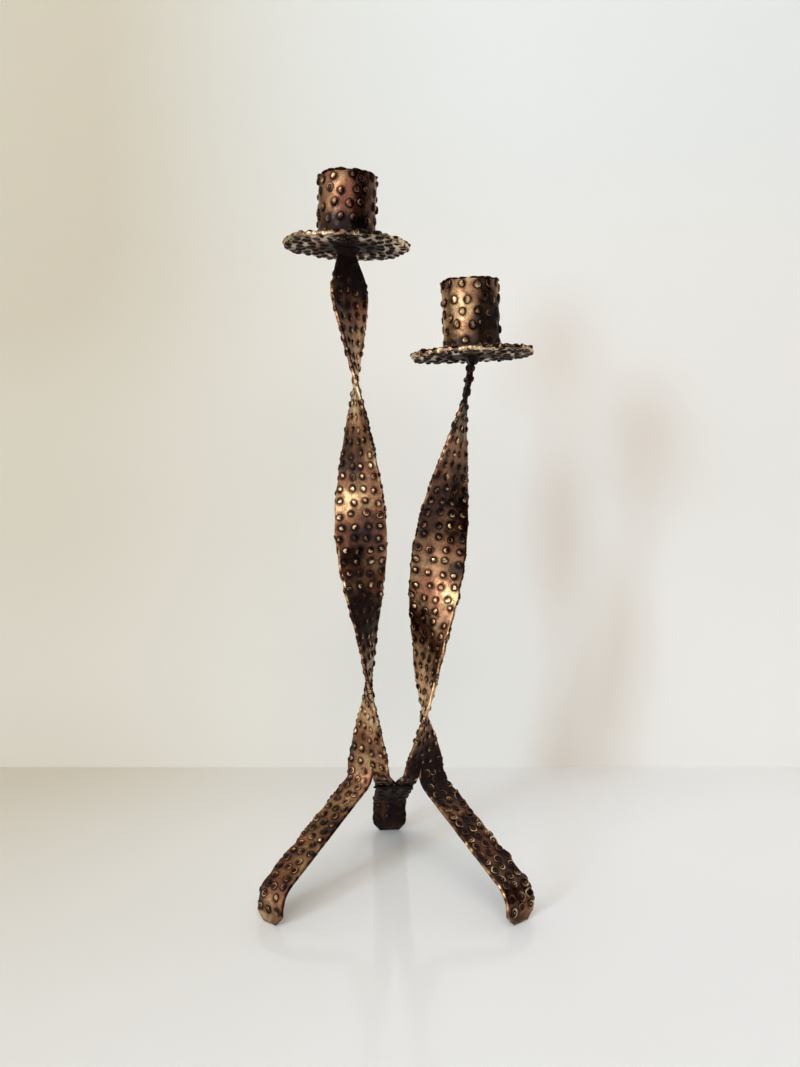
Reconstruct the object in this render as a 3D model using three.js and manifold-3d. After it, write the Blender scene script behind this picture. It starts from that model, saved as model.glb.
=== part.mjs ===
// A welded candlestick for two candles, made of flat steel strip covered in raised drops of weld.
// Each stem is one strip, twisted along its length and slit up the middle at its foot. The outer
// half of the slit end is bent forward as a front leg, and the inner half is bent back and laid on
// the single rear leg, where it is welded down. Each stem's top is drawn in to a neck and carries a
// round drip pan with a candle cup on it. Millimetres, +Z up, +X to the right, front towards -Y.
import * as THREE from 'three';
import { mergeVertices } from 'three/addons/utils/BufferGeometryUtils.js';
import Module from 'manifold-3d';

const { degToRad, lerp, smoothstep } = THREE.MathUtils;
const wasm = await Module();
wasm.setup();

// Strip and plate
const stripThickness = 2;
const innerTailWidth = 10.3;
const leftLegWidth = 16;
const rightLegWidth = 17.2;
const rearLegWidth = 19;
const weldGap = 0.3;

// Drops of weld on the strips, one in each cell of a grid. A drop's flat top reaches at most the
// top share of the way to its cell's edges, and a strip is plain where it is narrow.
const dropSpacing = 6.1;
const dropHeight = 0.9;
const dropRadius = 1.65;
const dropWander = 0.45;
const dropHeightWander = 0.18;
const dropTopShare = 0.7;
const leastStuddedWidth = 14;

// Stance
const stemSpacing = 28.8;
const splayAngle = degToRad(37);
const frontReach = 65.8;
const rearReach = 54.6;
const rearYaw = degToRad(4.4);
const legSlope = degToRad(28);
const frontFootHeight = 14.2;
const rearLegDrop = 9.67;
const forkStub = 2.4;
const hipRadius = 9;
const hipTurnLength = 18;
const ankleRadius = 12;
const frontToeChamfer = 4.5;
const rearToeChamfer = 4;

// Lap of the inner tails on the rear leg
const lapStart = 6.4;
const lapLength = 11;
const tailTipChamfer = 2.6;
const tailSeam = 0.4;
const tailBendPulls = [0.7, 0.55];
const tailBeadRadius = 1.8;
const tailBeadLength = 8;

// Neck at the top of each stem, and how far its collar of weld stands out beyond it under the pan
const neckWidth = 9.5;
const neckLength = 26;
const neckWeldHeight = 3.4;
const neckWeldSideReach = 2.25;
const neckWeldFaceReach = 2.7;
const neckWeldFootShare = 0.72;
const neckWeldWaistShare = 0.84;
const neckWeldWaistDrop = 1.2;

// Drip pans, and the place of the middle of each one's underside
const leftPanAside = 24.4;
const leftPanAhead = 3.2;
const leftPanHeight = 318.9;
const rightPanAside = 38.2;
const rightPanBehind = 1.8;
const rightPanHeight = 266.9;
const panRadius = 31;
const panThickness = 2;
const panHubMargin = 0.5;
const panDropRadius = 1.9;
const panDropRingCount = 4;
const panDropCount = 24;

// Candle cups, for a 22 mm candle, each cut to its own length
const leftCupHeight = 31.7;
const rightCupHeight = 34.8;
const cupBore = 24;
const cupWall = 2;
const cupFootBand = 3.2;
const cupRimBand = 1.6;
const cupDropRowCount = 5;
const cupDropCount = 16;
const cupDropRadius = 2.1;
const cupWeldWidth = 2.4;
const cupWeldCrown = 1.56;

const cupRadius = cupBore / 2 + cupWall;
const neckWeldWidth = neckWidth + 2 * neckWeldSideReach;
const neckWeldDepth = stripThickness + 2 * neckWeldFaceReach;
const panHubRadius = neckWeldWidth / 2 + panHubMargin;
const up = new THREE.Vector3(0, 0, 1);

// Each front leg bends at the hip, below a short upright stub, so the fork stands on the front legs.
// The rear leg's line meets the middle of the candlestick at its own drop below the fork.
const hipHeight = frontFootHeight + frontReach * Math.tan(legSlope);
const hipRun = hipRadius * Math.tan((Math.PI / 2 - legSlope) / 2);
const forkHeight = hipHeight + hipRun + forkStub;
const rearLegHeightAt = (out) => forkHeight - rearLegDrop - out * Math.tan(legSlope);

// Each stem: the width of the half that becomes its front leg, how far its strip is turned from the
// pans' line at the fork, where its pan sits and how far that leans sideways and back. A sway is
// [share of the stem's length, way from the straight line in X], and a turn is [share, degrees
// past the fork].
const leftStem = {
  side: -1,
  legWidth: leftLegWidth,
  forkAngle: degToRad(35),
  seat: new THREE.Vector3(-leftPanAside, -leftPanAhead, leftPanHeight),
  lean: [degToRad(1.4), degToRad(2.6)],
  cupHeight: leftCupHeight,
  sway: [[0, 0], [0.185, 2.4], [0.484, 1.2], [0.765, 1.6], [1, 0]],
  turn: [
    [0, 0],
    [0.176, 55],
    [0.28, 78],
    [0.372, 107],
    [0.477, 145],
    [0.58, 182],
    [0.763, 235],
    [1, 301],
  ],
};
const rightStem = {
  side: 1,
  legWidth: rightLegWidth,
  forkAngle: degToRad(42),
  seat: new THREE.Vector3(rightPanAside, rightPanBehind, rightPanHeight),
  lean: [degToRad(-2.5), degToRad(1.2)],
  cupHeight: rightCupHeight,
  sway: [[0, 0], [0.137, -3.5], [0.362, -5.4], [0.653, -4.2], [0.94, -0.4], [1, 0]],
  turn: [
    [0, 0],
    [0.138, 49],
    [0.345, 92],
    [0.519, 138],
    [0.722, 188],
    [0.8, 205],
    [0.87, 219],
    [1, 237],
  ],
};
const stripWidthOf = ({ legWidth }) => legWidth + innerTailWidth;

// A small repeatable random source, so that the drops sit unevenly in the same way each time.
let randomState = 41;
function wander(amount) {
  randomState = (randomState * 16807) % 2147483647;
  return amount * (2 * (randomState / 2147483647) - 1);
}

// A smooth curve of one value through [place, value] pairs.
function smoothThrough(pairs) {
  const places = Float64Array.from(pairs, ([place]) => place);
  const values = Float64Array.from(pairs, ([, value]) => value);
  const curve = new THREE.CubicInterpolant(places, values, 1);
  return (place) => curve.evaluate(place)[0];
}

// Turns the corners of a cell so that they run anticlockwise when seen from its front.
function facingFront(corners) {
  const area = new THREE.Vector3();
  const normal = new THREE.Vector3();
  corners.forEach((corner, i) => {
    const next = corners[(i + 1) % corners.length];
    area.add(corner.point.clone().cross(next.point));
    normal.add(corner.normal);
  });
  return area.dot(normal) > 0 ? corners : [...corners].reverse();
}

// Makes a closed plate from cells that share their corners. A corner has a point on the middle of
// the plate and the normal of its front. A cell names the faces that carry a drop: there its middle
// rises to a small flat top, whose corners point at the middles of the cell's edges.
function platedGeometry(cells, thickness, radius) {
  const positions = [];
  const triangles = [];
  const placed = new Map();
  const openEdges = new Map();
  const addPoint = (point) => positions.push(point.x, point.y, point.z) / 3 - 1;

  for (const cell of cells) {
    const corners = facingFront(cell.corners);
    for (const corner of corners) {
      if (placed.has(corner)) continue;
      const half = corner.normal.clone().multiplyScalar(thickness / 2);
      const front = addPoint(corner.point.clone().add(half));
      placed.set(corner, { front, back: addPoint(corner.point.clone().sub(half)) });
    }
    addFace(corners, 'front', 1, cell.front);
    addFace([...corners].reverse(), 'back', -1, cell.back);
    corners.forEach((corner, i) => {
      const from = placed.get(corner);
      const to = placed.get(corners[(i + 1) % corners.length]);
      const back = `${to.front} ${from.front}`;
      if (openEdges.has(back)) openEdges.delete(back);
      else openEdges.set(`${from.front} ${to.front}`, [from, to]);
    });
  }
  for (const [from, to] of openEdges.values()) {
    triangles.push(to.front, from.front, from.back, to.front, from.back, to.back);
  }

  function addFace(corners, side, sign, hasDrop) {
    const ring = corners.map((corner) => placed.get(corner)[side]);
    const count = ring.length;
    if (!hasDrop) {
      for (let i = 1; i < count - 1; i += 1) triangles.push(ring[0], ring[i], ring[i + 1]);
      return;
    }
    const centre = new THREE.Vector3();
    const normal = new THREE.Vector3();
    for (const corner of corners) {
      centre.addScaledVector(corner.point, 1 / count);
      normal.add(corner.normal);
    }
    normal.normalize();
    const rise = sign * (thickness / 2 + dropHeight + wander(dropHeightWander));
    const top = corners.map((corner, i) => {
      const next = corners[(i + 1) % count];
      const way = corner.point.clone().add(next.point).multiplyScalar(0.5).sub(centre);
      way.setLength(Math.min(radius, dropTopShare * way.length()));
      return addPoint(centre.clone().add(way).addScaledVector(normal, rise));
    });
    for (let i = 0; i < count; i += 1) {
      const j = (i + 1) % count;
      triangles.push(ring[i], ring[j], top[i], ring[j], top[j], top[i]);
      if (i > 0 && j > 0) triangles.push(top[0], top[i], top[j]);
    }
  }

  const geometry = new THREE.BufferGeometry();
  geometry.setAttribute('position', new THREE.Float32BufferAttribute(positions, 3));
  geometry.setIndex(triangles);
  return geometry;
}

// Cells between rows of corners. dropsAt(row, column) says which faces of a cell carry a drop.
function cellsBetween(rows, dropsAt) {
  const cells = [];
  for (let r = 0; r + 1 < rows.length; r += 1) {
    for (let c = 0; c + 1 < rows[r].length; c += 1) {
      const corners = [rows[r][c], rows[r][c + 1], rows[r + 1][c + 1], rows[r + 1][c]];
      cells.push({ corners, ...dropsAt(r, c) });
    }
  }
  return cells;
}

// One row of corners across a strip, from a frame with its centre, the way across and the front.
// Corners inside the strip wander a little in its plane; the outer ones only along its edge.
function rowAcross({ centre, across, along, normal }, offsets, wandering) {
  return offsets.map((offset, i) => {
    const inner = i > 0 && i < offsets.length - 1;
    const point = centre.clone().addScaledVector(across, offset + wander(inner ? wandering : 0));
    point.addScaledVector(along, wander(wandering));
    return { point, normal };
  });
}

// The frame of a strip at a point, from the way along it and roughly the way across it. The front
// of a stem's strip looks the way its front leg goes.
function stripFrame(centre, along, roughAcross, side) {
  const across = roughAcross.clone().addScaledVector(along, -roughAcross.dot(along)).normalize();
  const normal = new THREE.Vector3().crossVectors(along, across).multiplyScalar(side);
  return { centre, across, along, normal };
}

// A line of straight runs joined by round bends, in a plane.
function bentLine(points, radii) {
  const line = new THREE.Path().moveTo(points[0].x, points[0].y);
  for (let i = 1; i + 1 < points.length; i += 1) {
    const into = points[i].clone().sub(points[i - 1]).normalize();
    const away = points[i + 1].clone().sub(points[i]).normalize();
    const turn = Math.atan2(into.cross(away), into.dot(away));
    const run = radii[i - 1] * Math.tan(Math.abs(turn) / 2);
    const start = points[i].clone().addScaledVector(into, -run);
    const left = new THREE.Vector2(-into.y, into.x).multiplyScalar(Math.sign(turn));
    const middle = start.clone().addScaledVector(left, radii[i - 1]);
    const from = Math.atan2(start.y - middle.y, start.x - middle.x);
    line.lineTo(start.x, start.y);
    line.absarc(middle.x, middle.y, radii[i - 1], from, from + turn, turn < 0);
  }
  const last = points[points.length - 1];
  line.lineTo(last.x, last.y);
  return line;
}

// The corners of a leg whose middle keeps to one upright plane. It runs outward from the origin by
// the bent line, and its last row is the narrow end of its toe. acrossAt gives the way across it.
function legRows({ origin, outward, acrossAt, side, line, edges, chamfer, firstRow }) {
  const length = line.getLength();
  const rowCount = Math.round((length - chamfer) / dropSpacing);
  const rows = firstRow ? [firstRow] : [];
  for (let r = rows.length; r <= rowCount + 1; r += 1) {
    const share = r > rowCount ? 1 : (r / rowCount) * (1 - chamfer / length);
    const { x: out, y: height } = line.getPoint(share);
    const slope = line.getTangent(share);
    const centre = origin.clone().addScaledVector(outward, out).setZ(height);
    const along = outward.clone().multiplyScalar(slope.x).setZ(slope.y);
    const ends = [edges[0], edges[edges.length - 1]];
    const trim = r > rowCount ? chamfer / ((ends[1] - ends[0]) / 2) : 0;
    const middle = (ends[0] + ends[1]) / 2;
    const offsets = edges.map((edge) => middle + (edge - middle) * (1 - trim));
    const wandering = r === 0 || r >= rowCount ? 0 : dropWander;
    rows.push(rowAcross(stripFrame(centre, along, acrossAt(share * length), side), offsets, wandering));
  }
  return rows;
}

const bothFaces = { front: true, back: true };
const neither = { front: false, back: false };

// The rear leg's middle line, out from the point between the stems, and its own frame.
const rearWay = new THREE.Vector3(-Math.sin(rearYaw), Math.cos(rearYaw), 0);
const rearAcross = new THREE.Vector3(Math.cos(rearYaw), Math.sin(rearYaw), 0);
const rearSlopeWay = rearWay.clone().multiplyScalar(Math.cos(legSlope)).setZ(-Math.sin(legSlope));
const rearTopNormal = rearWay.clone().multiplyScalar(Math.sin(legSlope)).setZ(Math.cos(legSlope));

// A point over the rear leg's middle surface, in line with the middle of an inner tail.
function lapPoint(side, out, lift) {
  const aside = side * (innerTailWidth + tailSeam) / 2;
  const point = rearWay.clone().multiplyScalar(out).setZ(rearLegHeightAt(out));
  return point.addScaledVector(rearTopNormal, lift).addScaledVector(rearAcross, aside);
}

// The inner tail bends back from the fork, turns square to the rear leg and lies along it.
function innerTailRows(stem, firstRow, edges) {
  const { side } = stem;
  const { base, outerWay } = forkOf(stem);
  const lapBegin = lapPoint(side, lapStart, stripThickness + weldGap);
  const lapEnd = lapPoint(side, lapStart + lapLength, stripThickness + weldGap);
  const middle = (edges[0] + edges[edges.length - 1]) / 2;
  const start = base.clone().addScaledVector(outerWay, middle);
  const level = Math.hypot(lapBegin.x - start.x, lapBegin.y - start.y);
  const knee = start.clone().setZ(lapBegin.z + level * Math.tan(legSlope));
  const line = new THREE.CurvePath();
  line.add(new THREE.CubicBezierCurve3(
    start,
    start.clone().lerp(knee, tailBendPulls[0]),
    lapBegin.clone().lerp(knee, tailBendPulls[1]),
    lapBegin,
  ));
  line.add(new THREE.LineCurve3(lapBegin, lapEnd));

  const bend = line.curves[0].getLength();
  const bendRows = Math.round(bend / dropSpacing);
  const lapRows = Math.round((lapLength - tailTipChamfer) / dropSpacing);
  const shares = [];
  for (let r = 1; r <= bendRows; r += 1) shares.push((r / bendRows) * bend);
  for (let r = 1; r <= lapRows; r += 1) {
    shares.push(bend + (r / lapRows) * (lapLength - tailTipChamfer));
  }
  shares.push(bend + lapLength);

  const rows = [firstRow];
  const squareAcross = rearAcross.clone().multiplyScalar(side);
  for (const run of shares) {
    const share = run / (bend + lapLength);
    const settled = smoothstep(run, 0, bend);
    const along = line.getTangent(share);
    const across = outerWay.clone().lerp(squareAcross, settled);
    const atTip = run > bend + lapLength - tailTipChamfer / 2;
    const half = innerTailWidth / 2 - (atTip ? tailTipChamfer : 0);
    const offsets = [-half, 0, half];
    rows.push(rowAcross(stripFrame(line.getPoint(share), along, across, side), offsets, 0));
  }
  return { rows, bendRows };
}

// The frames of a stem's strip, one for each row of drops from the fork up to the pan, with the
// width of the strip there, which is drawn in to the neck.
function stemFrames(stem) {
  const { side, seat, sway, turn } = stem;
  const { base, outerWay } = forkOf(stem);
  const swayAt = smoothThrough(sway);
  const turnAt = smoothThrough(turn);
  const axisAt = (share) => base.clone().lerp(seat, share).add(new THREE.Vector3(swayAt(share), 0, 0));
  const length = seat.z - forkHeight;
  const rowCount = Math.round(length / dropSpacing);
  const step = 0.5 / rowCount;
  return Array.from({ length: rowCount + 1 }, (_, r) => {
    const share = r / rowCount;
    const along = axisAt(Math.min(1, share + step)).sub(axisAt(Math.max(0, share - step))).normalize();
    if (r === 0) along.copy(up);
    const roughAcross = outerWay.clone().applyAxisAngle(up, side * degToRad(turnAt(share)));
    const drawn = smoothstep((1 - share) * length, 0, neckLength);
    const width = lerp(neckWidth, stripWidthOf(stem), drawn);
    return { ...stripFrame(axisAt(share), along, roughAcross, -side), width };
  });
}

// Where a stem forks: the middle of its strip, the way across it and the way its front leg goes.
function forkOf({ side, forkAngle }) {
  return {
    base: new THREE.Vector3(side * stemSpacing / 2, 0, forkHeight),
    outerWay: new THREE.Vector3(side * Math.cos(forkAngle), Math.sin(forkAngle), 0),
    legWay: new THREE.Vector3(side * Math.sin(splayAngle), -Math.cos(splayAngle), 0),
  };
}

// The upright line of a pan, a little off plumb.
const leanOf = ({ lean }) => new THREE.Euler(lean[1], lean[0], 0);
const panNormalOf = (stem) => up.clone().applyEuler(leanOf(stem));

// Slides a point along the strip until it is at a height over the pan's seat.
function slideToPan(point, along, stem, height) {
  const normal = panNormalOf(stem);
  const short = height - point.clone().sub(stem.seat).dot(normal);
  return point.clone().addScaledVector(along, short / along.dot(normal));
}

// A stem's strip from its fork to the pan, its front leg and its inner tail, as one plate.
function stemGeometry(stem) {
  const { side } = stem;
  const { base, outerWay, legWay } = forkOf(stem);
  const stripWidth = stripWidthOf(stem);
  const slit = innerTailWidth - stripWidth / 2;
  const columns = [
    -stripWidth / 2,
    (slit - stripWidth / 2) / 2,
    slit,
    (slit + stripWidth / 2) / 2,
    stripWidth / 2,
  ];
  const frames = stemFrames(stem);
  const last = frames.length - 1;
  const rows = frames.map((frame, r) => {
    const offsets = columns.map((offset) => offset * frame.width / stripWidth);
    const row = rowAcross(frame, offsets, r === 0 || r >= last - 1 ? 0 : dropWander);
    if (r === last) {
      for (const corner of row) corner.point = slideToPan(corner.point, frame.along, stem, -weldGap);
    }
    return row;
  });
  const dropsAt = (r) => (frames[r + 1].width > leastStuddedWidth ? bothFaces : neither);
  const cells = cellsBetween(rows, dropsAt);

  const line = bentLine(
    [
      new THREE.Vector2(0, forkHeight),
      new THREE.Vector2(0, hipHeight),
      new THREE.Vector2(frontReach, frontFootHeight),
      new THREE.Vector2(frontReach, 0),
    ],
    [hipRadius, ankleRadius],
  );
  const legAcross = new THREE.Vector3(side * Math.cos(splayAngle), Math.sin(splayAngle), 0);
  const halfLeg = stem.legWidth / 2;
  const outerRows = legRows({
    origin: base.clone().addScaledVector(outerWay, slit + halfLeg),
    outward: legWay,
    acrossAt: (run) => outerWay.clone().lerp(legAcross, smoothstep(run, 0, hipTurnLength)),
    side,
    line,
    edges: [-halfLeg, 0, halfLeg],
    chamfer: frontToeChamfer,
    firstRow: rows[0].slice(2),
  });
  cells.push(...cellsBetween(outerRows, (r) => (r < outerRows.length - 2 ? bothFaces : neither)));

  const inner = innerTailRows(stem, rows[0].slice(0, 3), columns.slice(0, 3));
  const innerDrops = (r) => ({ front: r < inner.bendRows - 1, back: r < inner.rows.length - 2 });
  cells.push(...cellsBetween(inner.rows, innerDrops));
  return platedGeometry(cells, stripThickness, dropRadius);
}

// The rear leg: a wider strip that starts under the two tails and ends in a foot of its own.
function rearLegGeometry() {
  const line = bentLine(
    [
      new THREE.Vector2(lapStart, rearLegHeightAt(lapStart)),
      new THREE.Vector2(rearReach, rearLegHeightAt(rearReach)),
      new THREE.Vector2(rearReach, 0),
    ],
    [ankleRadius],
  );
  const half = rearLegWidth / 2;
  const rows = legRows({
    origin: new THREE.Vector3(),
    outward: rearWay,
    acrossAt: () => rearAcross,
    side: -1,
    line,
    edges: [-half, -half / 3, half / 3, half],
    chamfer: rearToeChamfer,
  });
  const lapRows = Math.ceil((lapLength + 2 * tailBeadRadius) / dropSpacing);
  const dropsAt = (r) => {
    if (r >= rows.length - 2) return neither;
    return { front: r >= lapRows, back: true };
  };
  return platedGeometry(cellsBetween(rows, dropsAt), stripThickness, dropRadius);
}

// A round pan: a plain hub, then rings of drops. The upper face stays plain where the cup stands.
function panGeometry() {
  const radiusOf = (ring) => lerp(panHubRadius, panRadius, ring / panDropRingCount);
  const circles = Array.from({ length: panDropRingCount + 1 }, (_, ring) => {
    const count = ring < 2 ? panDropCount / 2 : panDropCount;
    return Array.from({ length: count }, (__, i) => {
      const reach = radiusOf(ring) + wander(ring > 0 ? dropWander : 0);
      const point = new THREE.Vector3(reach, 0, panThickness / 2);
      return { point: point.applyAxisAngle(up, (2 * Math.PI * i) / count), normal: up };
    });
  });
  const cells = [{ corners: circles[0], ...neither }];
  for (let ring = 0; ring < panDropRingCount; ring += 1) {
    const inside = circles[ring];
    const outside = circles[ring + 1];
    const ratio = outside.length / inside.length;
    const clearOfCup = radiusOf(ring) > cupRadius + weldGap + cupWeldWidth;
    inside.forEach((corner, i) => {
      const next = (i + 1) % inside.length;
      const corners = [corner];
      for (let k = 0; k <= ratio; k += 1) corners.push(outside[(i * ratio + k) % outside.length]);
      corners.push(inside[next]);
      cells.push({ corners, front: clearOfCup, back: true });
    });
  }
  return platedGeometry(cells, panThickness, panDropRadius);
}

// A candle cup: an open tube with drops outside, a plain band at its foot and a smooth bore.
function cupGeometry(cupHeight) {
  const dropRow = (cupHeight - cupFootBand - cupRimBand) / cupDropRowCount;
  const heights = [0, cupFootBand];
  for (let r = 1; r <= cupDropRowCount; r += 1) heights.push(cupFootBand + r * dropRow);
  heights.push(cupHeight);
  const rows = heights.map((height, r) => {
    const plain = r < 2 || r > heights.length - 2;
    const row = Array.from({ length: cupDropCount }, (_, i) => {
      const angle = (2 * Math.PI * i) / cupDropCount;
      const normal = new THREE.Vector3(Math.cos(angle), Math.sin(angle), 0);
      const point = normal.clone().multiplyScalar(cupRadius - cupWall / 2);
      point.z = height + wander(plain ? 0 : dropWander);
      return { point, normal };
    });
    return [...row, row[0]];
  });
  const dropsAt = (r) => ({ front: r > 0 && r <= cupDropRowCount, back: false });
  return platedGeometry(cellsBetween(rows, dropsAt), cupWall, cupDropRadius);
}

// A fillet of weld round the foot of a cup.
function cupWeldGeometry() {
  const inside = cupRadius + weldGap;
  const section = [
    new THREE.Vector2(inside, 0),
    new THREE.Vector2(inside + cupWeldWidth, 0),
    new THREE.Vector2(inside + cupWeldCrown, cupWeldCrown),
    new THREE.Vector2(inside, cupWeldWidth),
    new THREE.Vector2(inside, 0),
  ];
  return new THREE.LatheGeometry(section, cupDropCount).rotateX(Math.PI / 2);
}

// Turns a closed three.js geometry into a solid for cutting, and back.
function toSolid(geometry) {
  const bare = new THREE.BufferGeometry();
  bare.setAttribute('position', geometry.getAttribute('position').clone());
  if (geometry.index) bare.setIndex(geometry.index.clone());
  const merged = mergeVertices(bare, 1e-4);
  return new wasm.Manifold(new wasm.Mesh({
    numProp: 3,
    vertProperties: Float32Array.from(merged.getAttribute('position').array),
    triVerts: Uint32Array.from(merged.index.array),
  }));
}

function fromSolid(solid) {
  const { vertProperties, triVerts } = solid.getMesh();
  const geometry = new THREE.BufferGeometry();
  geometry.setAttribute('position', new THREE.Float32BufferAttribute(vertProperties, 3));
  geometry.setIndex(new THREE.Uint32BufferAttribute(triVerts, 1));
  return geometry;
}

// The weld that joins a neck to its pan: an oval collar under the pan, open for the neck.
function neckWeldGeometry(stem) {
  const frames = stemFrames(stem);
  const top = frames[frames.length - 1];
  const below = frames[frames.length - 2];
  const profile = [
    new THREE.Vector2(0, -neckWeldHeight),
    new THREE.Vector2(neckWeldFootShare, -neckWeldHeight),
    new THREE.Vector2(neckWeldWaistShare, -neckWeldWaistDrop),
    new THREE.Vector2(1, 0),
    new THREE.Vector2(0, 0),
  ];
  const collar = new THREE.LatheGeometry(profile, 16).rotateX(Math.PI / 2);
  collar.scale(neckWeldWidth / 2, neckWeldDepth / 2, 1);
  const normal = panNormalOf(stem);
  const ahead = new THREE.Vector3().crossVectors(normal, top.across).normalize();
  const across = new THREE.Vector3().crossVectors(ahead, normal);
  const placing = new THREE.Matrix4().makeBasis(across, ahead, normal);
  collar.applyMatrix4(placing.setPosition(stem.seat.clone().addScaledVector(normal, -weldGap)));

  const room = (frame) => [-1, 1].map((way) => way * (frame.width / 2 + weldGap));
  const rows = [rowAcross(below, room(below), 0), rowAcross(top, room(top), 0)];
  for (const corner of rows[1]) corner.point = slideToPan(corner.point, top.along, stem, neckWeldHeight);
  const opening = platedGeometry(cellsBetween(rows, () => neither), stripThickness + 2 * weldGap);
  return fromSolid(toSolid(collar).subtract(toSolid(opening)));
}

// The bead of weld across the tip of an inner tail, a quarter round lying on the rear leg.
function tailBeadGeometry() {
  const shape = new THREE.Shape();
  shape.moveTo(0, 0);
  shape.lineTo(tailBeadRadius, 0);
  shape.absarc(0, 0, tailBeadRadius, 0, Math.PI / 2, false);
  shape.lineTo(0, 0);
  const bead = new THREE.ExtrudeGeometry(shape, {
    depth: tailBeadLength,
    bevelEnabled: false,
    curveSegments: 4,
  });
  return bead.translate(0, 0, -tailBeadLength / 2);
}

const darkBronze = { color: 0x3b2c20, roughness: 0.42, metalness: 0.9 };
const brownBronze = { color: 0x5a4129, roughness: 0.4, metalness: 0.9 };
const weldBronze = { color: 0x2c231b, roughness: 0.5, metalness: 0.85 };

function piece(name, geometry, finish) {
  const mesh = new THREE.Mesh(geometry, new THREE.MeshStandardMaterial(finish));
  mesh.name = name;
  geometry.computeVertexNormals();
  return mesh;
}

const candlestick = new THREE.Group();

for (const [word, stem] of [['left', leftStem], ['right', rightStem]]) {
  candlestick.add(piece(`${word}_stem`, stemGeometry(stem), darkBronze));

  const head = new THREE.Group();
  head.position.copy(stem.seat);
  head.rotation.copy(leanOf(stem));
  const cup = piece(`${word}_candle_cup`, cupGeometry(stem.cupHeight), brownBronze);
  cup.position.z = panThickness + weldGap;
  const cupWeld = piece(`${word}_cup_weld`, cupWeldGeometry(), weldBronze);
  cupWeld.position.z = panThickness + weldGap;
  head.add(piece(`${word}_drip_pan`, panGeometry(), darkBronze));
  head.add(cup, cupWeld);
  candlestick.add(head);
  candlestick.add(piece(`${word}_neck_weld`, neckWeldGeometry(stem), weldBronze));

  const bead = piece(`${word}_tail_weld`, tailBeadGeometry(), weldBronze);
  const tip = lapPoint(stem.side, lapStart + lapLength, stripThickness / 2 + weldGap);
  bead.position.copy(tip).addScaledVector(rearSlopeWay, weldGap);
  bead.quaternion.setFromRotationMatrix(
    new THREE.Matrix4().makeBasis(rearSlopeWay, rearTopNormal, rearAcross),
  );
  candlestick.add(bead);
}

candlestick.add(piece('rear_leg', rearLegGeometry(), darkBronze));

// The origin is under the middle of the whole candlestick, on the surface that it stands on.
const box = new THREE.Box3().setFromObject(candlestick, true);
const middle = box.getCenter(new THREE.Vector3());
candlestick.position.set(-middle.x, -middle.y, -box.min.z);

export default candlestick;
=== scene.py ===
# %% [markdown]
# # A welded candlestick for two candles
#
# The real object is flat steel strip, sheet and tube, welded together and covered all over with
# raised drops of weld, then given a dark bronze finish that has worn to brown, copper and gold.
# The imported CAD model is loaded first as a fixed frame. Every piece made here stands where one of
# its nodes stands, so the sizes below are the object's own, in millimetres.

# %% Load the frame
import math
from functools import partial

import bpy
import numpy as np
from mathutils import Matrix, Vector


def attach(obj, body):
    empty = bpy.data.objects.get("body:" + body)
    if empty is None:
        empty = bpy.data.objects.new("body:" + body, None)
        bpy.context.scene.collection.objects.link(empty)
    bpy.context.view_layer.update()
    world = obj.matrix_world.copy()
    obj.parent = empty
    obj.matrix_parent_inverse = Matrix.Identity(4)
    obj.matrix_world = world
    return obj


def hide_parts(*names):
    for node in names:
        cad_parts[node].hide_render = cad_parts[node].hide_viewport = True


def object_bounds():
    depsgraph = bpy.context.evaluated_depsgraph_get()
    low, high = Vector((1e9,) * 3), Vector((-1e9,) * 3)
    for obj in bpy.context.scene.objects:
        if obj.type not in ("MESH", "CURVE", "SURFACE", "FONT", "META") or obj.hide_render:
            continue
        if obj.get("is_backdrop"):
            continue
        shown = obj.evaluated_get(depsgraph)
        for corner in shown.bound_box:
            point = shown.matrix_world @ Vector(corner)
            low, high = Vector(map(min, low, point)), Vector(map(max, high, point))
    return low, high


MM = 0.001


def add_object(name, data):
    """A new object in the scene that shows some data."""
    thing = bpy.data.objects.new(name, data)
    bpy.context.scene.collection.objects.link(thing)
    return thing


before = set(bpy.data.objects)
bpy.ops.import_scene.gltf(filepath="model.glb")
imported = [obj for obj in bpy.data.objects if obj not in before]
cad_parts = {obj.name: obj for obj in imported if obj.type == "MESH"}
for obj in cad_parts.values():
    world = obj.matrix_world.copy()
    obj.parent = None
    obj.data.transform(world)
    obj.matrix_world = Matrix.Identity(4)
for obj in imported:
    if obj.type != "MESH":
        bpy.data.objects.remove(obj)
cad_low, cad_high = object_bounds()
print("CAD box in mm:", [round(v / MM, 1) for v in (*cad_low, *cad_high)])

# %% [markdown]
# ## The camera and the room
#
# The photograph was taken from about the height of the candlestick's middle, a little over 40 cm in
# front of it, with the camera tipped slightly down. The room is a glossy white table against a pale
# wall. The wall is seen only from its front, so that it doesn't hide the candlestick from behind.

# %% Place the camera
CAMERA_PLACE = (-0.16, -437.67, 210.0)
CAMERA_TIP = math.radians(4.2)
LENS = 29.12
SENSOR = 36.0

camera_data = bpy.data.cameras.new("camera")
camera_data.lens = LENS
camera_data.sensor_width = SENSOR
camera_data.clip_start = 0.01
camera = add_object("camera", camera_data)
camera.location = [v * MM for v in CAMERA_PLACE]
camera.rotation_euler = (math.pi / 2 - CAMERA_TIP, 0, 0)
bpy.context.scene.camera = camera
bpy.context.scene.view_settings.view_transform = "Standard"
print("camera stands", round(-CAMERA_PLACE[1]), "mm in front")


# %% Helpers for node trees
def add_node(tree, kind, values=None, **settings):
    """A new node of a kind, with its settings and the values of its named or numbered inputs."""
    node = tree.nodes.new(kind)
    for name, value in settings.items():
        setattr(node, name, value)
    for name, value in (values or {}).items():
        socket = node.inputs[name]
        if isinstance(value, bpy.types.NodeSocket):
            tree.links.new(value, socket)
        else:
            socket.default_value = value
    return node


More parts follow.
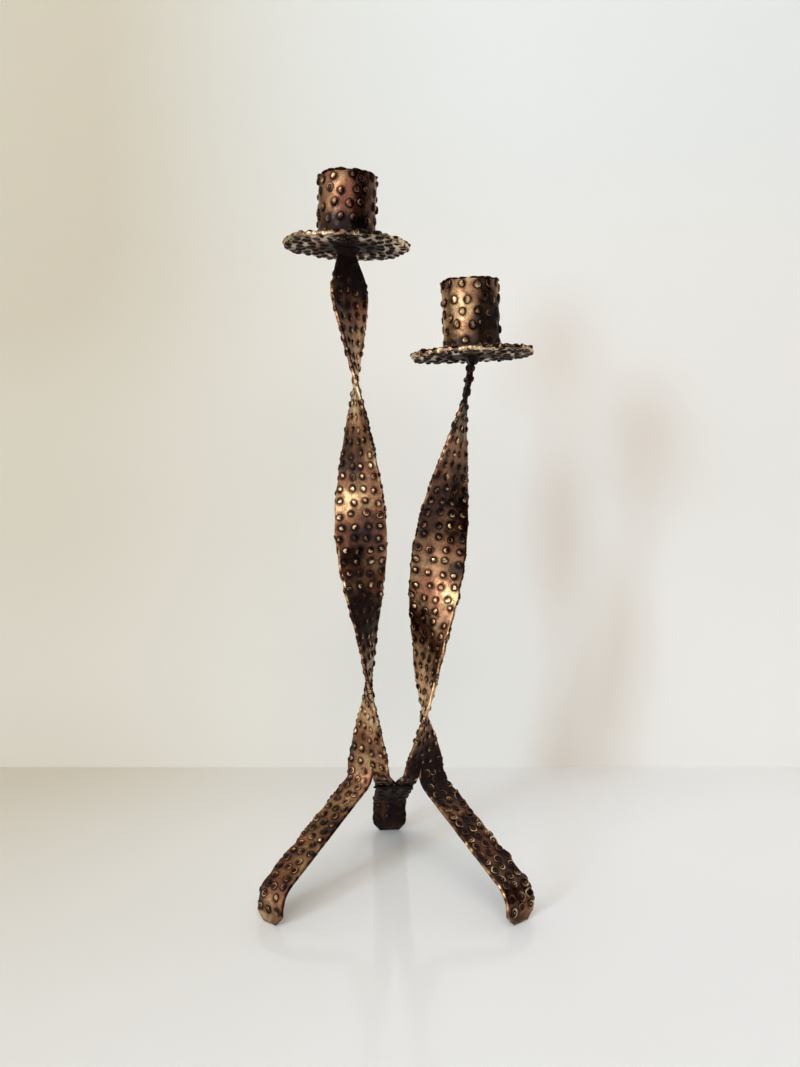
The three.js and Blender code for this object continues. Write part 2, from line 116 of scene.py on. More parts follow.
def maths(tree, operation, *values):
    """The result of a Math node on two or three values or sockets."""
    return add_node(tree, "ShaderNodeMath", dict(enumerate(values)), operation=operation).outputs[0]


def weighted(tree, total, *terms):
    """The total plus the product of each pair of values or sockets."""
    for value, weight in terms:
        total = maths(tree, "MULTIPLY_ADD", value, weight, total)
    return total


def blend_colours(tree, share, first, second):
    """The colour that goes from the first to the second as the share goes from 0 to 1."""
    values = {"Factor": share, 6: first, 7: second}
    return add_node(tree, "ShaderNodeMix", values, data_type="RGBA").outputs[2]


def rise_between(tree, value, low, high):
    """0 below low, 1 above high and a smooth step between."""
    values = {"Value": value, "From Min": low, "From Max": high}
    node = add_node(tree, "ShaderNodeMapRange", values, interpolation_type="SMOOTHSTEP")
    return node.outputs["Result"]


def new_material(name):
    """An empty material, its node tree and its output node."""
    material = bpy.data.materials.new(name)
    material.use_nodes = True
    tree = material.node_tree
    tree.nodes.clear()
    return material, tree, tree.nodes.new("ShaderNodeOutputMaterial")


def colour(red, green, blue):
    """A colour written as it looks on a screen, 0 to 255, as the linear values that shaders use."""
    shares = np.array([red, green, blue]) / 255
    linear = np.where(shares <= 0.04045, shares / 12.92, ((shares + 0.055) / 1.055) ** 2.4)
    return (*linear.tolist(), 1.0)


# %% [markdown]
# ## Table and wall
#
# Both are single flat faces. The table is a white gloss sheet, so it shows a faint mirror image of
# the feet. Painted shade makes it darker on the left and at the back. The wall is matt, with
# painted shade that makes it darker and warmer on the left, most of all in its upper corner, and
# painted light that makes it lighter and warmer at its foot.

# %% Make the table and the wall
WALL_PLACE = 160.5
HALF_WIDTH = 2000.0
HALF_DEPTH = 1500.0
ROOM_HEIGHT = 2600.0


def flat_face(name, low, high, material):
    """One flat face between two opposite corners, level from side to side, as part of the stage."""
    (left, front, foot), (right, back, top) = low, high
    corners = [(left, front, foot), (right, front, foot), (right, back, top), (left, back, top)]
    mesh = bpy.data.meshes.new(name)
    mesh.from_pydata([[v * MM for v in corner] for corner in corners], [], [(0, 1, 2, 3)])
    mesh.materials.append(material)
    face = add_object(name, mesh)
    face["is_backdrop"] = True


def places_in_room(tree):
    """How far a shaded point lies to the left, to the back and up, in metres."""
    place = add_node(tree, "ShaderNodeTexCoord").outputs["Object"]
    parts = add_node(tree, "ShaderNodeSeparateXYZ", {0: place}).outputs
    return maths(tree, "MULTIPLY", parts["X"], -1.0), parts["Y"], parts["Z"]


def table_material():
    """White gloss, darker where the photograph shows less light.

    The shade is a rise to the left times a rise to the back, with a little more by the wall.
    """
    material, tree, output = new_material("white gloss table")
    leftward, back, _ = places_in_room(tree)
    # Painted shade: the table is darker to the left, to the back and in a band along the wall.
    left = rise_between(tree, leftward, -0.1, 0.3)
    strength = weighted(tree, 0.38, (rise_between(tree, back, -0.2, 0.13), 0.52))
    by_wall = maths(tree, "MULTIPLY", rise_between(tree, back, 0.05, 0.17), 0.15)
    shade = weighted(tree, by_wall, (left, strength))
    gloss = blend_colours(tree, shade, colour(242, 242, 242), colour(206, 198, 181))
    values = {"Base Color": gloss, "Roughness": 0.12, "Specular IOR Level": 0.35}
    shader = add_node(tree, "ShaderNodeBsdfPrincipled", values)
    tree.links.new(shader.outputs[0], output.inputs[0])
    return material


def wall_material():
    """Matt paint, darker and warmer to the left, and clear when it is looked at from behind.

    The painted shade is a rise to the left that is stronger higher up, and a second one in the
    upper left corner. Elsewhere painted light makes the paint lighter and warm at the foot, going
    to neutral at the top.
    """
    material, tree, output = new_material("pale wall")
    leftward, _, up = places_in_room(tree)
    # Painted shade to the left and in the upper corner, and painted light at the foot.
    strength = weighted(tree, 0.62, (rise_between(tree, up, 0.05, 0.2), 0.2))
    left = maths(tree, "MULTIPLY", rise_between(tree, leftward, -0.1, 0.28), strength)
    corner = maths(tree, "MULTIPLY", rise_between(tree, up, 0.22, 0.37), 0.3)
    shade = weighted(tree, left, (rise_between(tree, leftward, 0.05, 0.24), corner))
    foot, middle, top = colour(249, 244, 236), colour(243, 237, 229), colour(237, 236, 231)
    pale = blend_colours(tree, rise_between(tree, up, 0.0, 0.25), foot, middle)
    pale = blend_colours(tree, rise_between(tree, up, 0.3, 0.48), pale, top)
    paint = blend_colours(tree, shade, pale, colour(210, 198, 176))
    matt = add_node(tree, "ShaderNodeBsdfDiffuse", {"Color": paint})
    behind = add_node(tree, "ShaderNodeNewGeometry").outputs["Backfacing"]
    clear = add_node(tree, "ShaderNodeBsdfTransparent")
    shaders = {0: behind, 1: matt.outputs[0], 2: clear.outputs[0]}
    mix = add_node(tree, "ShaderNodeMixShader", shaders)
    tree.links.new(mix.outputs[0], output.inputs[0])
    return material


table_ends = (-HALF_WIDTH, -HALF_DEPTH, 0), (HALF_WIDTH, HALF_DEPTH, 0)
wall_ends = (-HALF_WIDTH, WALL_PLACE, 0), (HALF_WIDTH, WALL_PLACE, ROOM_HEIGHT)
flat_face("table", *table_ends, table_material())
flat_face("wall", *wall_ends, wall_material())
print("wall stands", WALL_PLACE, "mm behind the middle")

# %% [markdown]
# ## Light
#
# The shadows on the wall and the table show where the brightest light came from: a tall window
# about 40 degrees to the left of the camera, higher than the candlestick. Metal and matt surfaces
# have lamps of their own. The metal mirrors one warm window, in a room that is bright on the left
# and dark on the right, which is why the cups turn from gold to near black just beyond their
# middles. The wall and the table get a bluish light from that window and a warmer one from the rest
# of the room, so their shadows are warm.

# %% Light the room
WINDOW_PLACE = (-1540, -1847, 800)
LAMP_TARGET = (0, 0, 180)
MIRRORED_TINT = (1.0, 0.97, 0.9)
WINDOW_TINT = (0.48, 0.75, 0.98)
ROOM_TINT = (1.05, 1.0, 0.96)
BRIGHT_WAY = (-0.82, -0.46, 0.34)
ROOM_DARK = (0.03, 0.027, 0.025, 1)
ROOM_BRIGHT = (1.4, 1.31, 1.22, 1)


def window(name, place, width, height, watts, tint, mirrored=False):
    """A rectangular lamp that is either mirrored in metal or lights matt surfaces.

    It shines along its own -Z axis, which is turned from the lamp's place to the candlestick.
    """
    data = bpy.data.lights.new(name, "AREA")
    data.shape = "RECTANGLE"
    data.size, data.size_y = width * MM, height * MM
    data.energy = watts
    data.color = tint
    lamp = add_object(name, data)
    lamp.visible_glossy, lamp.visible_diffuse = mirrored, not mirrored
    lamp.visible_camera = False
    ahead = np.array(LAMP_TARGET, float) - np.array(place, float)
    ahead /= np.linalg.norm(ahead)
    lamp.location = [v * MM for v in place]
    lamp.rotation_euler = (math.acos(-ahead[2]), 0, math.atan2(-ahead[0], ahead[1]))


def room_light():
    """The room that the metal mirrors. It lights nothing matt, and the camera sees a pale colour.

    It is dark where the cosine between a direction and the bright one is under 0.05, and bright
    where that is over 0.33.
    """
    world = bpy.data.worlds.new("room")
    bpy.context.scene.world = world
    world.cycles_visibility.diffuse = False
    world.use_nodes = True
    tree = world.node_tree
    tree.nodes.clear()
    way = add_node(tree, "ShaderNodeTexCoord").outputs["Generated"]
    cosine = {0: way, 1: BRIGHT_WAY}
    facing = add_node(tree, "ShaderNodeVectorMath", cosine, operation="DOT_PRODUCT")
    share = rise_between(tree, facing.outputs["Value"], 0.05, 0.33)
    tone = blend_colours(tree, share, ROOM_DARK, ROOM_BRIGHT)
    seen = add_node(tree, "ShaderNodeLightPath").outputs["Is Camera Ray"]
    shown = blend_colours(tree, seen, tone, colour(228, 227, 223))
    background = add_node(tree, "ShaderNodeBackground", {"Color": shown, "Strength": 1.0})
    output = tree.nodes.new("ShaderNodeOutputWorld")
    tree.links.new(background.outputs[0], output.inputs[0])


window("window in the metal", WINDOW_PLACE, 360, 900, 11.0, MIRRORED_TINT, mirrored=True)
window("window on the walls", WINDOW_PLACE, 300, 700, 22.0, WINDOW_TINT)
window("window wall", (-1650, -1500, 900), 1400, 1200, 8.0, ROOM_TINT)
window("front of the room", (-300, -1900, 2000), 2600, 2000, 40.0, ROOM_TINT)
window("ceiling", (0, -600, 2400), 2500, 2500, 15.5, ROOM_TINT)
room_light()
print("lamps:", [lamp.name for lamp in bpy.data.lights])

# %% [markdown]
# ## Surfaces as functions
#
# Every part of the candlestick is a thin sheet of metal, so each is written as a function of two
# numbers, u across and v along, that gives a point on the middle of the metal and the direction
# that its front faces. The same function then places three things: the two faces of the sheet, its
# rounded edges and the drops of weld. That keeps each drop on its sheet, however it is twisted.


# %% Curves and directions
def smooth_through(pairs):
    """A smooth curve of one value through [place, value] pairs.

    At each inner pair the slope is the mean of the slopes to its neighbours, and between two pairs
    the curve is the cubic that has their values and slopes.
    """
    at, value = np.array(pairs, float).T
    chord = np.diff(value) / np.diff(at)
    slope = np.concatenate([chord[:1], (chord[1:] + chord[:-1]) / 2, chord[-1:]])

    def curve(place):
        i = np.clip(np.searchsorted(at, place) - 1, 0, len(at) - 2)
        step = at[i + 1] - at[i]
        t = (place - at[i]) / step
        ends = value[i] * (1 + 2 * t) * (1 - t) ** 2 + value[i + 1] * t**2 * (3 - 2 * t)
        return ends + step * (slope[i] * t * (1 - t) ** 2 - slope[i + 1] * t**2 * (1 - t))

    return curve


def smooth_step(value, low, high):
    """0 below low, 1 above high and 3t² - 2t³ between."""
    t = np.clip((value - low) / (high - low), 0, 1)
    return t * t * (3 - 2 * t)


def unit(vectors):
    """Each vector divided by its length."""
    return vectors / np.linalg.norm(vectors, axis=-1, keepdims=True)


def square_to(rough, along):
    """Each rough direction made square to along, and of length 1."""
    return unit(rough - along * np.sum(rough * along, axis=-1, keepdims=True))


def between(share, first, second):
    """The mix of two directions or points for each share, from 0 to 1."""
    share = np.asarray(share, float)[..., None]
    return first * (1 - share) + second * share


def waves(points, pitch, seed, count=14):
    """Smooth unevenness of about -1 to 1: a sum of sine waves of one pitch in random directions."""
    rng = np.random.default_rng(seed)
    ways = unit(rng.normal(size=(count, 3))) * (2 * math.pi / pitch)
    starts = rng.uniform(0, 2 * math.pi, count)
    return np.sin(points @ ways.T + starts).sum(axis=-1) / math.sqrt(count)


def waver(places, pitch, seed):
    """Smooth unevenness of about -1 to 1 along a line."""
    line = np.stack([places, np.zeros_like(places), np.zeros_like(places)], axis=-1)
    return waves(line, pitch, seed)


def on_circle(angle, radius, height=0.0):
    """Points on a circle round the Z axis, at a height."""
    parts = (radius * np.cos(angle), radius * np.sin(angle), height)
    return np.stack(np.broadcast_arrays(*parts), axis=-1)


example = smooth_through([[0, 0], [1, 2], [2, 0]])
print("a curve through three pairs:", example(np.array([0.5, 1, 1.5])))

# %% [markdown]
# ## From arrays to a piece
#
# A piece is gathered as points and triangles with three numbers for each point. Worn is about 1
# where hands and polishing have reached, on drop tops and sheet edges, and also carries painted
# highlights: crescents on the drops and the right leg's edges. It is below 0 on drops that are
# darker than their sheet, partly as painted shade, and on the left leg's edges as painted shade.
# Hollow is 1 in the corner between a drop and its sheet, where the dark finish stays. Tone differs
# from drop to
# drop. A fourth number is for whole areas: the real candlestick is worn bright in some places and
# covered in soot in others, and the same number paints highlights and shade where reflections and
# shadow fall. The materials read all four as attributes, so the wear follows the shape.


# %% Gather a piece and make it
# Each row: X, Y, Z and radius of a place, and its strength: above 0 for wear and painted highlight,
# below 0 for soot and painted shade.
WEAR_AND_PAINTED_LIGHT_PLACES = [
    [-26, -4, 316, 13, -0.9],
    [-25, -4, 246, 22, 0.95],
    [-21, -4, 186, 22, -0.15],
    [-19, -3, 136, 30, -1.5],
    [-17, -2, 80, 26, 1.25],
    [-27, -14, 42, 16, 0.9],
    [-43, -35, 27, 13, -0.2],
    [-55, -50, 12, 14, 0.9],
    [35, 1, 252, 18, -1.4],
    [31, 0, 206, 26, -0.1],
    [6, -3, 160, 20, 1.5],
    [8, 0, 134, 12, 0.5],
    [16, 0, 128, 12, 0.35],
    [16, 0, 106, 22, 1.6],
    [15, -2, 62, 17, -1.7],
    [19, -5, 54, 12, -1.3],
    [26, -17, 42, 10, 1.3],
    [35, -31, 29, 15, -1.0],
    [52, -44, 16, 22, -0.2],
    [-4, 30, 32, 30, -2.3],
    [27, 0, 155, 11, -0.45],
    [-17, -8, 338, 12, 0.2],
    [27, -12, 286, 17, 1.7],
    [44, -10, 286, 12, -1.9],
    [-26, -4, 306, 14, -1.6],
    [36, 1, 254, 16, -1.6],
    [-26, -4, 319, 12, -2.4],
    [36, 1, 267, 11, -2.2],
    [-2, 10, 42, 10, -1.4],
]


def wear_and_painted_light(points):
    """How worn and lit each point is, with wear and painted highlight above 0 and soot and painted
    shade below: a sum of bell curves round places with a radius and a strength.
    """
    places = np.array(WEAR_AND_PAINTED_LIGHT_PLACES)
    away = ((points[:, None] - places[:, :3]) ** 2).sum(axis=-1)
    return (np.exp(-away / places[:, 3] ** 2) * places[:, 4]).sum(axis=-1)


class Metal:
    """Points, triangles and attributes that are gathered for one piece."""

    def __init__(self):
        self.points, self.triangles, self.values, self.total = [], [], [], 0

    def add(self, points, triangles, worn, hollow, tone):
        """Adds an array of points with their triangles and their three numbers."""
        points = points.reshape(-1, 3)
        self.points.append(points)
        self.triangles.append(triangles + self.total)
        parts = [np.broadcast_to(np.ravel(value), len(points)) for value in (worn, hollow, tone)]
        self.values.append(np.stack(parts, axis=-1))
        self.total += len(points)

    def welded(self):
        """Everything so far, with points in the same place made one and flat triangles left out."""
        points = np.concatenate(self.points)
        triangles = np.concatenate(self.triangles)
        values = np.concatenate(self.values)
        places = np.round(points, 3)
        _, first, same = np.unique(places, axis=0, return_index=True, return_inverse=True)
        triangles = np.ravel(same)[triangles]
        a, b, c = triangles.T
        whole = (a != b) & (b != c) & (c != a)
        return points[first], triangles[whole], values[first]


def make_piece(name, metal, material, slot, *nodes):
    """Makes one smooth mesh object from the gathered metal, riding on the body for its nodes.

    The wear, soot, painted highlight and painted shade of whole areas count less where a point is
    worn, by a factor of 1 - 0.6 x worn, kept from 0.4 to 1.
    """
    points, triangles, values = metal.welded()
    mesh = bpy.data.meshes.new(name + "_metal")
    mesh.from_pydata(points * MM, [], triangles)
    kept = np.clip(1 - 0.6 * values[:, 0], 0.4, 1)
    values = np.column_stack([values, wear_and_painted_light(points) * kept])
    for label, column in zip(("worn", "hollow", "tone", "wear_and_painted_light"), values.T):
        attribute = mesh.attributes.new(label, "FLOAT", "POINT")
        attribute.data.foreach_set("value", column.astype(np.float32))
    mesh.polygons.foreach_set("use_smooth", np.ones(len(triangles), bool))
    mesh.materials.append(material)
    mesh.update()
    piece = add_object(name + "_metal", mesh)
    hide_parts(*nodes)
    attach(piece, "root")
    corner = points[triangles]
    volume = np.einsum("ij,ij->i", corner[:, 0], np.cross(corner[:, 1], corner[:, 2])).sum() / 6
    print(f"{name}: {len(triangles)} triangles, {volume / 1000:.2f} cm3")


def grid_triangles(rows, columns):
    """Two triangles for each cell of a grid whose points are numbered row by row."""
    corner = np.arange(rows - 1)[:, None] * columns + np.arange(columns - 1)
    a, b, c, d = corner, corner + 1, corner + columns + 1, corner + columns
    return np.stack([a, b, c, a, c, d], axis=-1).reshape(-1, 3)


def outward_triangles(points, outward):
    """The triangles of a grid of points, turned so that their normals agree with outward."""
    facing = np.cross(np.gradient(points, axis=1), np.gradient(points, axis=0))
    triangles = grid_triangles(*points.shape[:2])
    return triangles if np.sum(facing * outward) > 0 else triangles[:, ::-1]


print("triangles of a 3 by 4 grid:", len(grid_triangles(3, 4)))

# %% [markdown]
# ## Drops of weld
#
# A drop is a small dome with steep sides and a flattened top, because it set on cold metal. Some,
# mostly on the legs, sank in the middle and look like rings. One template of 108 points is
# placed many times at once: its points are carried by each drop's own directions, so a thousand
# drops are one array sum.

# %% The drop
DROP_SIDES = 12
DROP_ANGLES = np.radians([0, 17, 29, 40, 54, 72])
DROP_ROOT = 0.5
DROP_FLATNESS = 2.7
DROP_SPREAD = 0.11


def drop_outline(flatness=DROP_FLATNESS):
    """The share of a drop's radius and of its height at each ring, from its top to its root.

    The outline is the curve on which the radius to the power of its flatness and the height squared
    add up to 1. Under the metal's surface it ends in a flat root.
    """
    out = np.sin(DROP_ANGLES) ** (2 / flatness)
    rise = np.concatenate([np.cos(DROP_ANGLES), [0.0, -DROP_ROOT, -DROP_ROOT]])
    return np.concatenate([out, [1.0, 0.96, 0.0]]), rise


def add_drops(metal, point, across, along, normal, size, seed):
    """Adds drops at points with their directions. size holds their radius, height and the rest.

    Each is a little oval, lobed and tipped by chance. The ring round its axis bulges by the cosines
    of two and three times the angle. A sunk drop's middle is lowered by a flat-bottomed bell curve,
    all but a small knob. Wear grows with the height above the sheet to the power of 2.2, as real
    wear on the tops, and is strongest on one side, like a crescent, which is a painted highlight.
    The shine scales this wear and painted highlight; below 0 it makes a drop darker than its sheet,
    partly as painted shade.
    """
    rng = np.random.default_rng(seed)
    count = len(point)
    radius = size["radius"] * (1 + rng.normal(0, size.get("spread", DROP_SPREAD), count))
    height = size["height"] * (1 + rng.normal(0, 0.14, count))
    sink = np.where(rng.random(count) < size["sunk"], rng.uniform(0.6, 1.0, count), 0.05)
    out, rise = drop_outline(size.get("flatness", DROP_FLATNESS))
    turn = np.linspace(0, 2 * math.pi, DROP_SIDES, endpoint=False)
    start = rng.uniform(0, 2 * math.pi, (count, 2, 1, 1))
    lobes = 1 + 0.08 * np.cos(2 * turn + start[:, 0]) + 0.05 * np.cos(3 * turn + start[:, 1])
    reach = radius[:, None, None] * out[:, None] * lobes
    side, ahead = reach * np.cos(turn), reach * np.sin(turn) * size["length"]
    bowl = np.exp(-((out / 0.68) ** 4)) * (1 - 0.55 * np.exp(-((out / 0.25) ** 2))) * (rise > 0)
    bowl = sink[:, None] * bowl
    tip = rng.normal(0, 0.1, (count, 2, 1, 1))
    lift = (height[:, None] * (rise - bowl))[:, :, None]
    lift = lift + (tip[:, 0] * side + tip[:, 1] * ahead) * np.clip(rise, 0, 1)[:, None]
    parts = zip((side, ahead, lift), (across, along, normal))
    places = point[:, None, None] + sum(k[..., None] * way[:, None, None] for k, way in parts)

    ring, spoke = np.divmod(grid_triangles(len(out), DROP_SIDES + 1), DROP_SIDES + 1)
    cells = ring * DROP_SIDES + spoke % DROP_SIDES
    right_handed = np.sum(np.cross(across, along) * normal, axis=-1) > 0
    cells = np.where(right_handed[:, None, None], cells[:, ::-1], cells)
    each = (np.arange(count) * len(out) * DROP_SIDES)[:, None, None]
    level = np.clip(rise - bowl, 0, 1)
    crest = (level / level.max(axis=1, keepdims=True)) ** 2.2
    worn = np.clip(crest[:, :, None] * (1 + 0.6 * np.cos(turn + start[:, 1])), 0, 1)
    tone = np.broadcast_to(rng.random(count)[:, None, None], places.shape[:3])
    shine = worn * size["shine"] * (0.4 + 0.6 * tone)
    metal.add(places, (cells + each).reshape(-1, 3), shine, (1 - worn) ** 2, tone)


print("points in one drop:", len(drop_outline()[0]) * DROP_SIDES)

# %% [markdown]
# ## Sheets with drops
#
# A sheet's two faces stand off its middle by half the thickness. Towards a free edge that falls to
# nothing along a quarter circle, so the faces meet in a rounded edge and the sheet is closed with
# no side walls. The metal is a little uneven, and it rises round each drop where the two fused.

# %% Make a sheet with its drops
STEP = 0.2
EDGE_ROUNDING = 0.95


def stand_on(sheet, u, v, u_size=1.0):
    """Points on a sheet, the directions across and along it there, and its true front normal.

    The directions are differences over a short step to each side, and the normal is square to both,
    on the side that the sheet calls its front. u_size is how many millimetres one unit of u is.
    """
    point, front = sheet(u, v)
    across = unit(sheet(u + STEP / u_size, v)[0] - sheet(u - STEP / u_size, v)[0])
    along = unit(sheet(u, v + STEP)[0] - sheet(u, v - STEP)[0])
    normal = unit(np.cross(across, along))
    normal *= np.sign(np.sum(normal * front, axis=-1, keepdims=True))
    return point, across, along, normal


def to_nearest(points, centres):
    """The distance from each point to the nearest of some centres, in slices of points."""
    if len(centres) == 0:
        return np.full(len(points), 99.0)
    parts = np.array_split(points, max(1, len(points) // 2000))
    return np.concatenate(
        [np.sqrt(((part[:, None] - centres) ** 2).sum(axis=-1).min(axis=1)) for part in parts]
    )


def place_drops(metal, sheet, u, v, size, way, thickness, seed, u_size=1.0):
    """Adds drops to one side of a sheet, 1 for its front and -1 for its back, and returns where."""
    point, across, along, normal = stand_on(sheet, u, v, u_size)
    centres = point + way * thickness / 2 * normal
    add_drops(metal, centres, across, along, way * normal, size, seed)
    return centres


def add_faces(metal, sheet, u, v, to_edge, thickness, centres, size, seed, edge_wear_and_light=1.0):
    """Adds both faces of a sheet over a grid of u and v. centres are its drops, front and back.

    to_edge is each grid point's distance to the nearest free edge. Half the thickness falls to
    nothing there on a quarter circle, and each face rises by a bell curve beside its drops. Free
    edges are worn by another bell curve times edge_wear_and_light, which is below 0 where they are
    dark. On the legs that factor is painted light: painted shade on the left leg's edges and a
    painted highlight on the right leg's.
    """
    point, front = sheet(u, v)
    inward = np.clip(to_edge / EDGE_ROUNDING, 0, 1)
    full = np.sqrt(1 - (1 - inward) ** 2)
    uneven_wear = np.clip(0.5 + 0.6 * waves(point, 3.6, seed + 8), 0, 1)
    edge = np.exp(-((to_edge / 0.8) ** 2)) * uneven_wear * edge_wear_and_light
    for way, drops in zip((1, -1), centres):
        face = point + (way * full * thickness / 2)[..., None] * front
        away = to_nearest(face.reshape(-1, 3), drops).reshape(u.shape) - size["radius"]
        away = np.clip(away, 0, None)
        uneven = 0.1 * waves(point, 11.0, seed + 5) + 0.05 * waves(point, 4.2, seed + 7 + way)
        swell = 0.2 * np.exp(-((away / 0.6) ** 2)) + uneven
        face = face + (way * swell * full)[..., None] * front
        triangles = outward_triangles(point, way * front)
        metal.add(face, triangles, edge, 0.7 * np.exp(-away / 0.5), 0.5)


def spread(low, high, pitch, ends=(True, True)):
    """Places from low to high, closer together near the ends that are edges, which are round."""
    fine = np.array([0.0, 0.1, 0.32, 0.62])
    first, last = (1.0 if end else 0.0 for end in ends)
    count = max(2, round((high - low - first - last) / pitch))
    inner = np.linspace(low + first, high - last, count + 1)
    start = low + fine if ends[0] else []
    return np.concatenate([start, inner, high - fine[::-1] if ends[1] else []])


def rows_of_drops(rows, places_at, wander, seed):
    """Places for rows of drops. places_at gives the places across a row, and each one wanders."""
    rng = np.random.default_rng(seed)
    across = [np.asarray(places_at(k, row), float) for k, row in enumerate(rows)]
    v = np.repeat(rows, [len(places) for places in across])
    u = np.concatenate(across)
    return u + rng.normal(0, wander, len(u)), v + rng.normal(0, wander, len(v))


def across_strip(count, low, high):
    """Places in the middles of equal shares of a strip's width."""
    return low + (high - low) * (np.arange(count) + 0.5) / count


print("places across a 10 mm strip:", len(spread(0, 10, 0.8)))

# %% [markdown]
# ## The two stems
#
# Each stem is one flat strip. Its foot is slit up the middle: the outer half bends forward as a
# front leg and the inner half bends back as a tail that lies on the rear leg. So u and v are places
# on the flat strip, v is 0 at the end of the slit, and one function bends and twists all of it.

# %% Sizes of the strips
CENTRE = np.array([2.105, 0.896, 0.0])
UP = np.array([0.0, 0.0, 1.0])
THICKNESS = 2.0
TAIL_WIDTH = 10.3
NECK_WIDTH = 9.5
NECK_LENGTH = 26.0
STEM_SPACING = 28.8
SPLAY = math.radians(37)
SLOPE = math.radians(28)
FRONT_REACH = 65.8
FRONT_FOOT = 14.2
HIP_RADIUS = 9.0
HIP_TURN = 18.0
ANKLE_RADIUS = 12.0
FORK_STUB = 2.4
TOE_CHAMFER = 4.5
HIP_HEIGHT = FRONT_FOOT + FRONT_REACH * math.tan(SLOPE)
FORK_HEIGHT = HIP_HEIGHT + HIP_RADIUS * math.tan(math.pi / 4 - SLOPE / 2) + FORK_STUB

REAR_YAW = math.radians(4.4)
REAR_REACH = 54.6
REAR_DROP = 9.67
REAR_HALF = 9.5
REAR_CHAMFER = 4.0
LAP_START = 6.4
LAP_LENGTH = 11.0
LAP_GAP = 0.15
TAILS_GAP = 0.4
TAIL_CHAMFER = 2.6
REAR_WAY = np.array([-math.sin(REAR_YAW), math.cos(REAR_YAW), 0.0])
REAR_ACROSS = np.array([math.cos(REAR_YAW), math.sin(REAR_YAW), 0.0])
REAR_SLOPE_WAY = REAR_WAY * math.cos(SLOPE) - UP * math.sin(SLOPE)
REAR_TOP = REAR_WAY * math.sin(SLOPE) + UP * math.cos(SLOPE)

# A sway is [share of the stem's height, mm in X from the straight line], a turn is [share, degrees
# past the fork], and a lean is about Y, then about X.
LEFT = {
    "name": "left",
    "side": -1,
    "leg_width": 16.0,
    # Painted shade: the left leg's edges are made dark, as shade falls on them.
    "leg_edge_painted_light": -1.6,
    "leg_drop": {"radius": 1.5, "height": 0.95, "sunk": 0.85, "length": 1.15, "shine": 0.9},
    "fork_angle": math.radians(35),
    "seat": np.array([-24.4, -3.2, 318.9]),
    "lean": (math.radians(1.4), math.radians(2.6)),
    "cup_height": 31.7,
    "sway": [[0, 0], [0.185, 2.4], [0.484, 1.2], [0.765, 1.6], [1, 0]],
    "turn": [
        [0, 0], [0.176, 55], [0.28, 78], [0.372, 107],
        [0.477, 145], [0.58, 182], [0.763, 235], [1, 301],
    ],
}
RIGHT = {
    "name": "right",
    "side": 1,
    "leg_width": 17.2,
    # Painted highlight: the right leg's edges are made bright, as the light catches them.
    "leg_edge_painted_light": 1.5,
    "leg_drop": {"radius": 2.1, "height": 0.95, "sunk": 1.0, "length": 1.12, "shine": 1.7},
    "fork_angle": math.radians(42),
    "seat": np.array([38.2, 1.8, 266.9]),
    "lean": (math.radians(-2.5), math.radians(1.2)),
    "cup_height": 34.8,
    "sway": [[0, 0], [0.137, -3.5], [0.362, -5.4], [0.653, -4.2], [0.94, -0.4], [1, 0]],
    "turn": [
        [0, 0], [0.138, 49], [0.345, 92], [0.519, 138],
        [0.722, 188], [0.8, 205], [0.87, 219], [1, 237],
    ],
}
print("the slit ends", round(FORK_HEIGHT, 1), "mm above the table")


# %% Lines with rounded bends
def bent_line(corners, radii):
    """A line through corners, each inner one rounded by an arc that touches both its sides.

    The arc starts radius x tan(half the turn) from the corner, and its points are the spherical
    mix of the two directions from its centre.
    """
    corners = [np.array(corner, float) for corner in corners]
    points = [corners[:1]]
    for before, corner, after, radius in zip(corners, corners[1:], corners[2:], radii):
        first, second = unit(before - corner), unit(after - corner)
        turn = math.pi - math.acos(first @ second)
        centre = corner + unit(first + second) * radius / math.cos(turn / 2)
        start = corner + first * radius * math.tan(turn / 2) - centre
        end = corner + second * radius * math.tan(turn / 2) - centre
        angle = np.linspace(0, turn, 40)[:, None]
        arc = (start * np.sin(turn - angle) + end * np.sin(angle)) / math.sin(turn)
        points.append(centre + arc)
    return np.concatenate([*points, corners[-1:]])


def runner(points):
    """A function that gives the point and the direction at any distance along a line, its length.

    The line is first cut into even steps of about a quarter of a millimetre.
    """
    run = np.concatenate([[0], np.cumsum(np.linalg.norm(np.diff(points, axis=0), axis=1))])
    even = np.linspace(0, run[-1], int(run[-1] * 4) + 2)
    line = np.stack([np.interp(even, run, column) for column in points.T], axis=-1)
    ways = unit(np.gradient(line, axis=0))

    def at(distance):
        point, way = (
            np.stack([np.interp(distance, even, column) for column in part.T], axis=-1)
            for part in (line, ways)
        )
        return point, unit(way)

    return at, run[-1]


def chamfered(left, half, chamfer):
    """The share of its half width that a strip keeps when it has a length left to its end."""
    return 1 - np.clip(chamfer - left, 0, chamfer) / half


def rear_leg_height(out):
    """The height of the rear leg's middle line at a distance out from the stems."""
    return FORK_HEIGHT - REAR_DROP - out * math.tan(SLOPE)


print("rear foot bends at", round(rear_leg_height(REAR_REACH), 1), "mm")


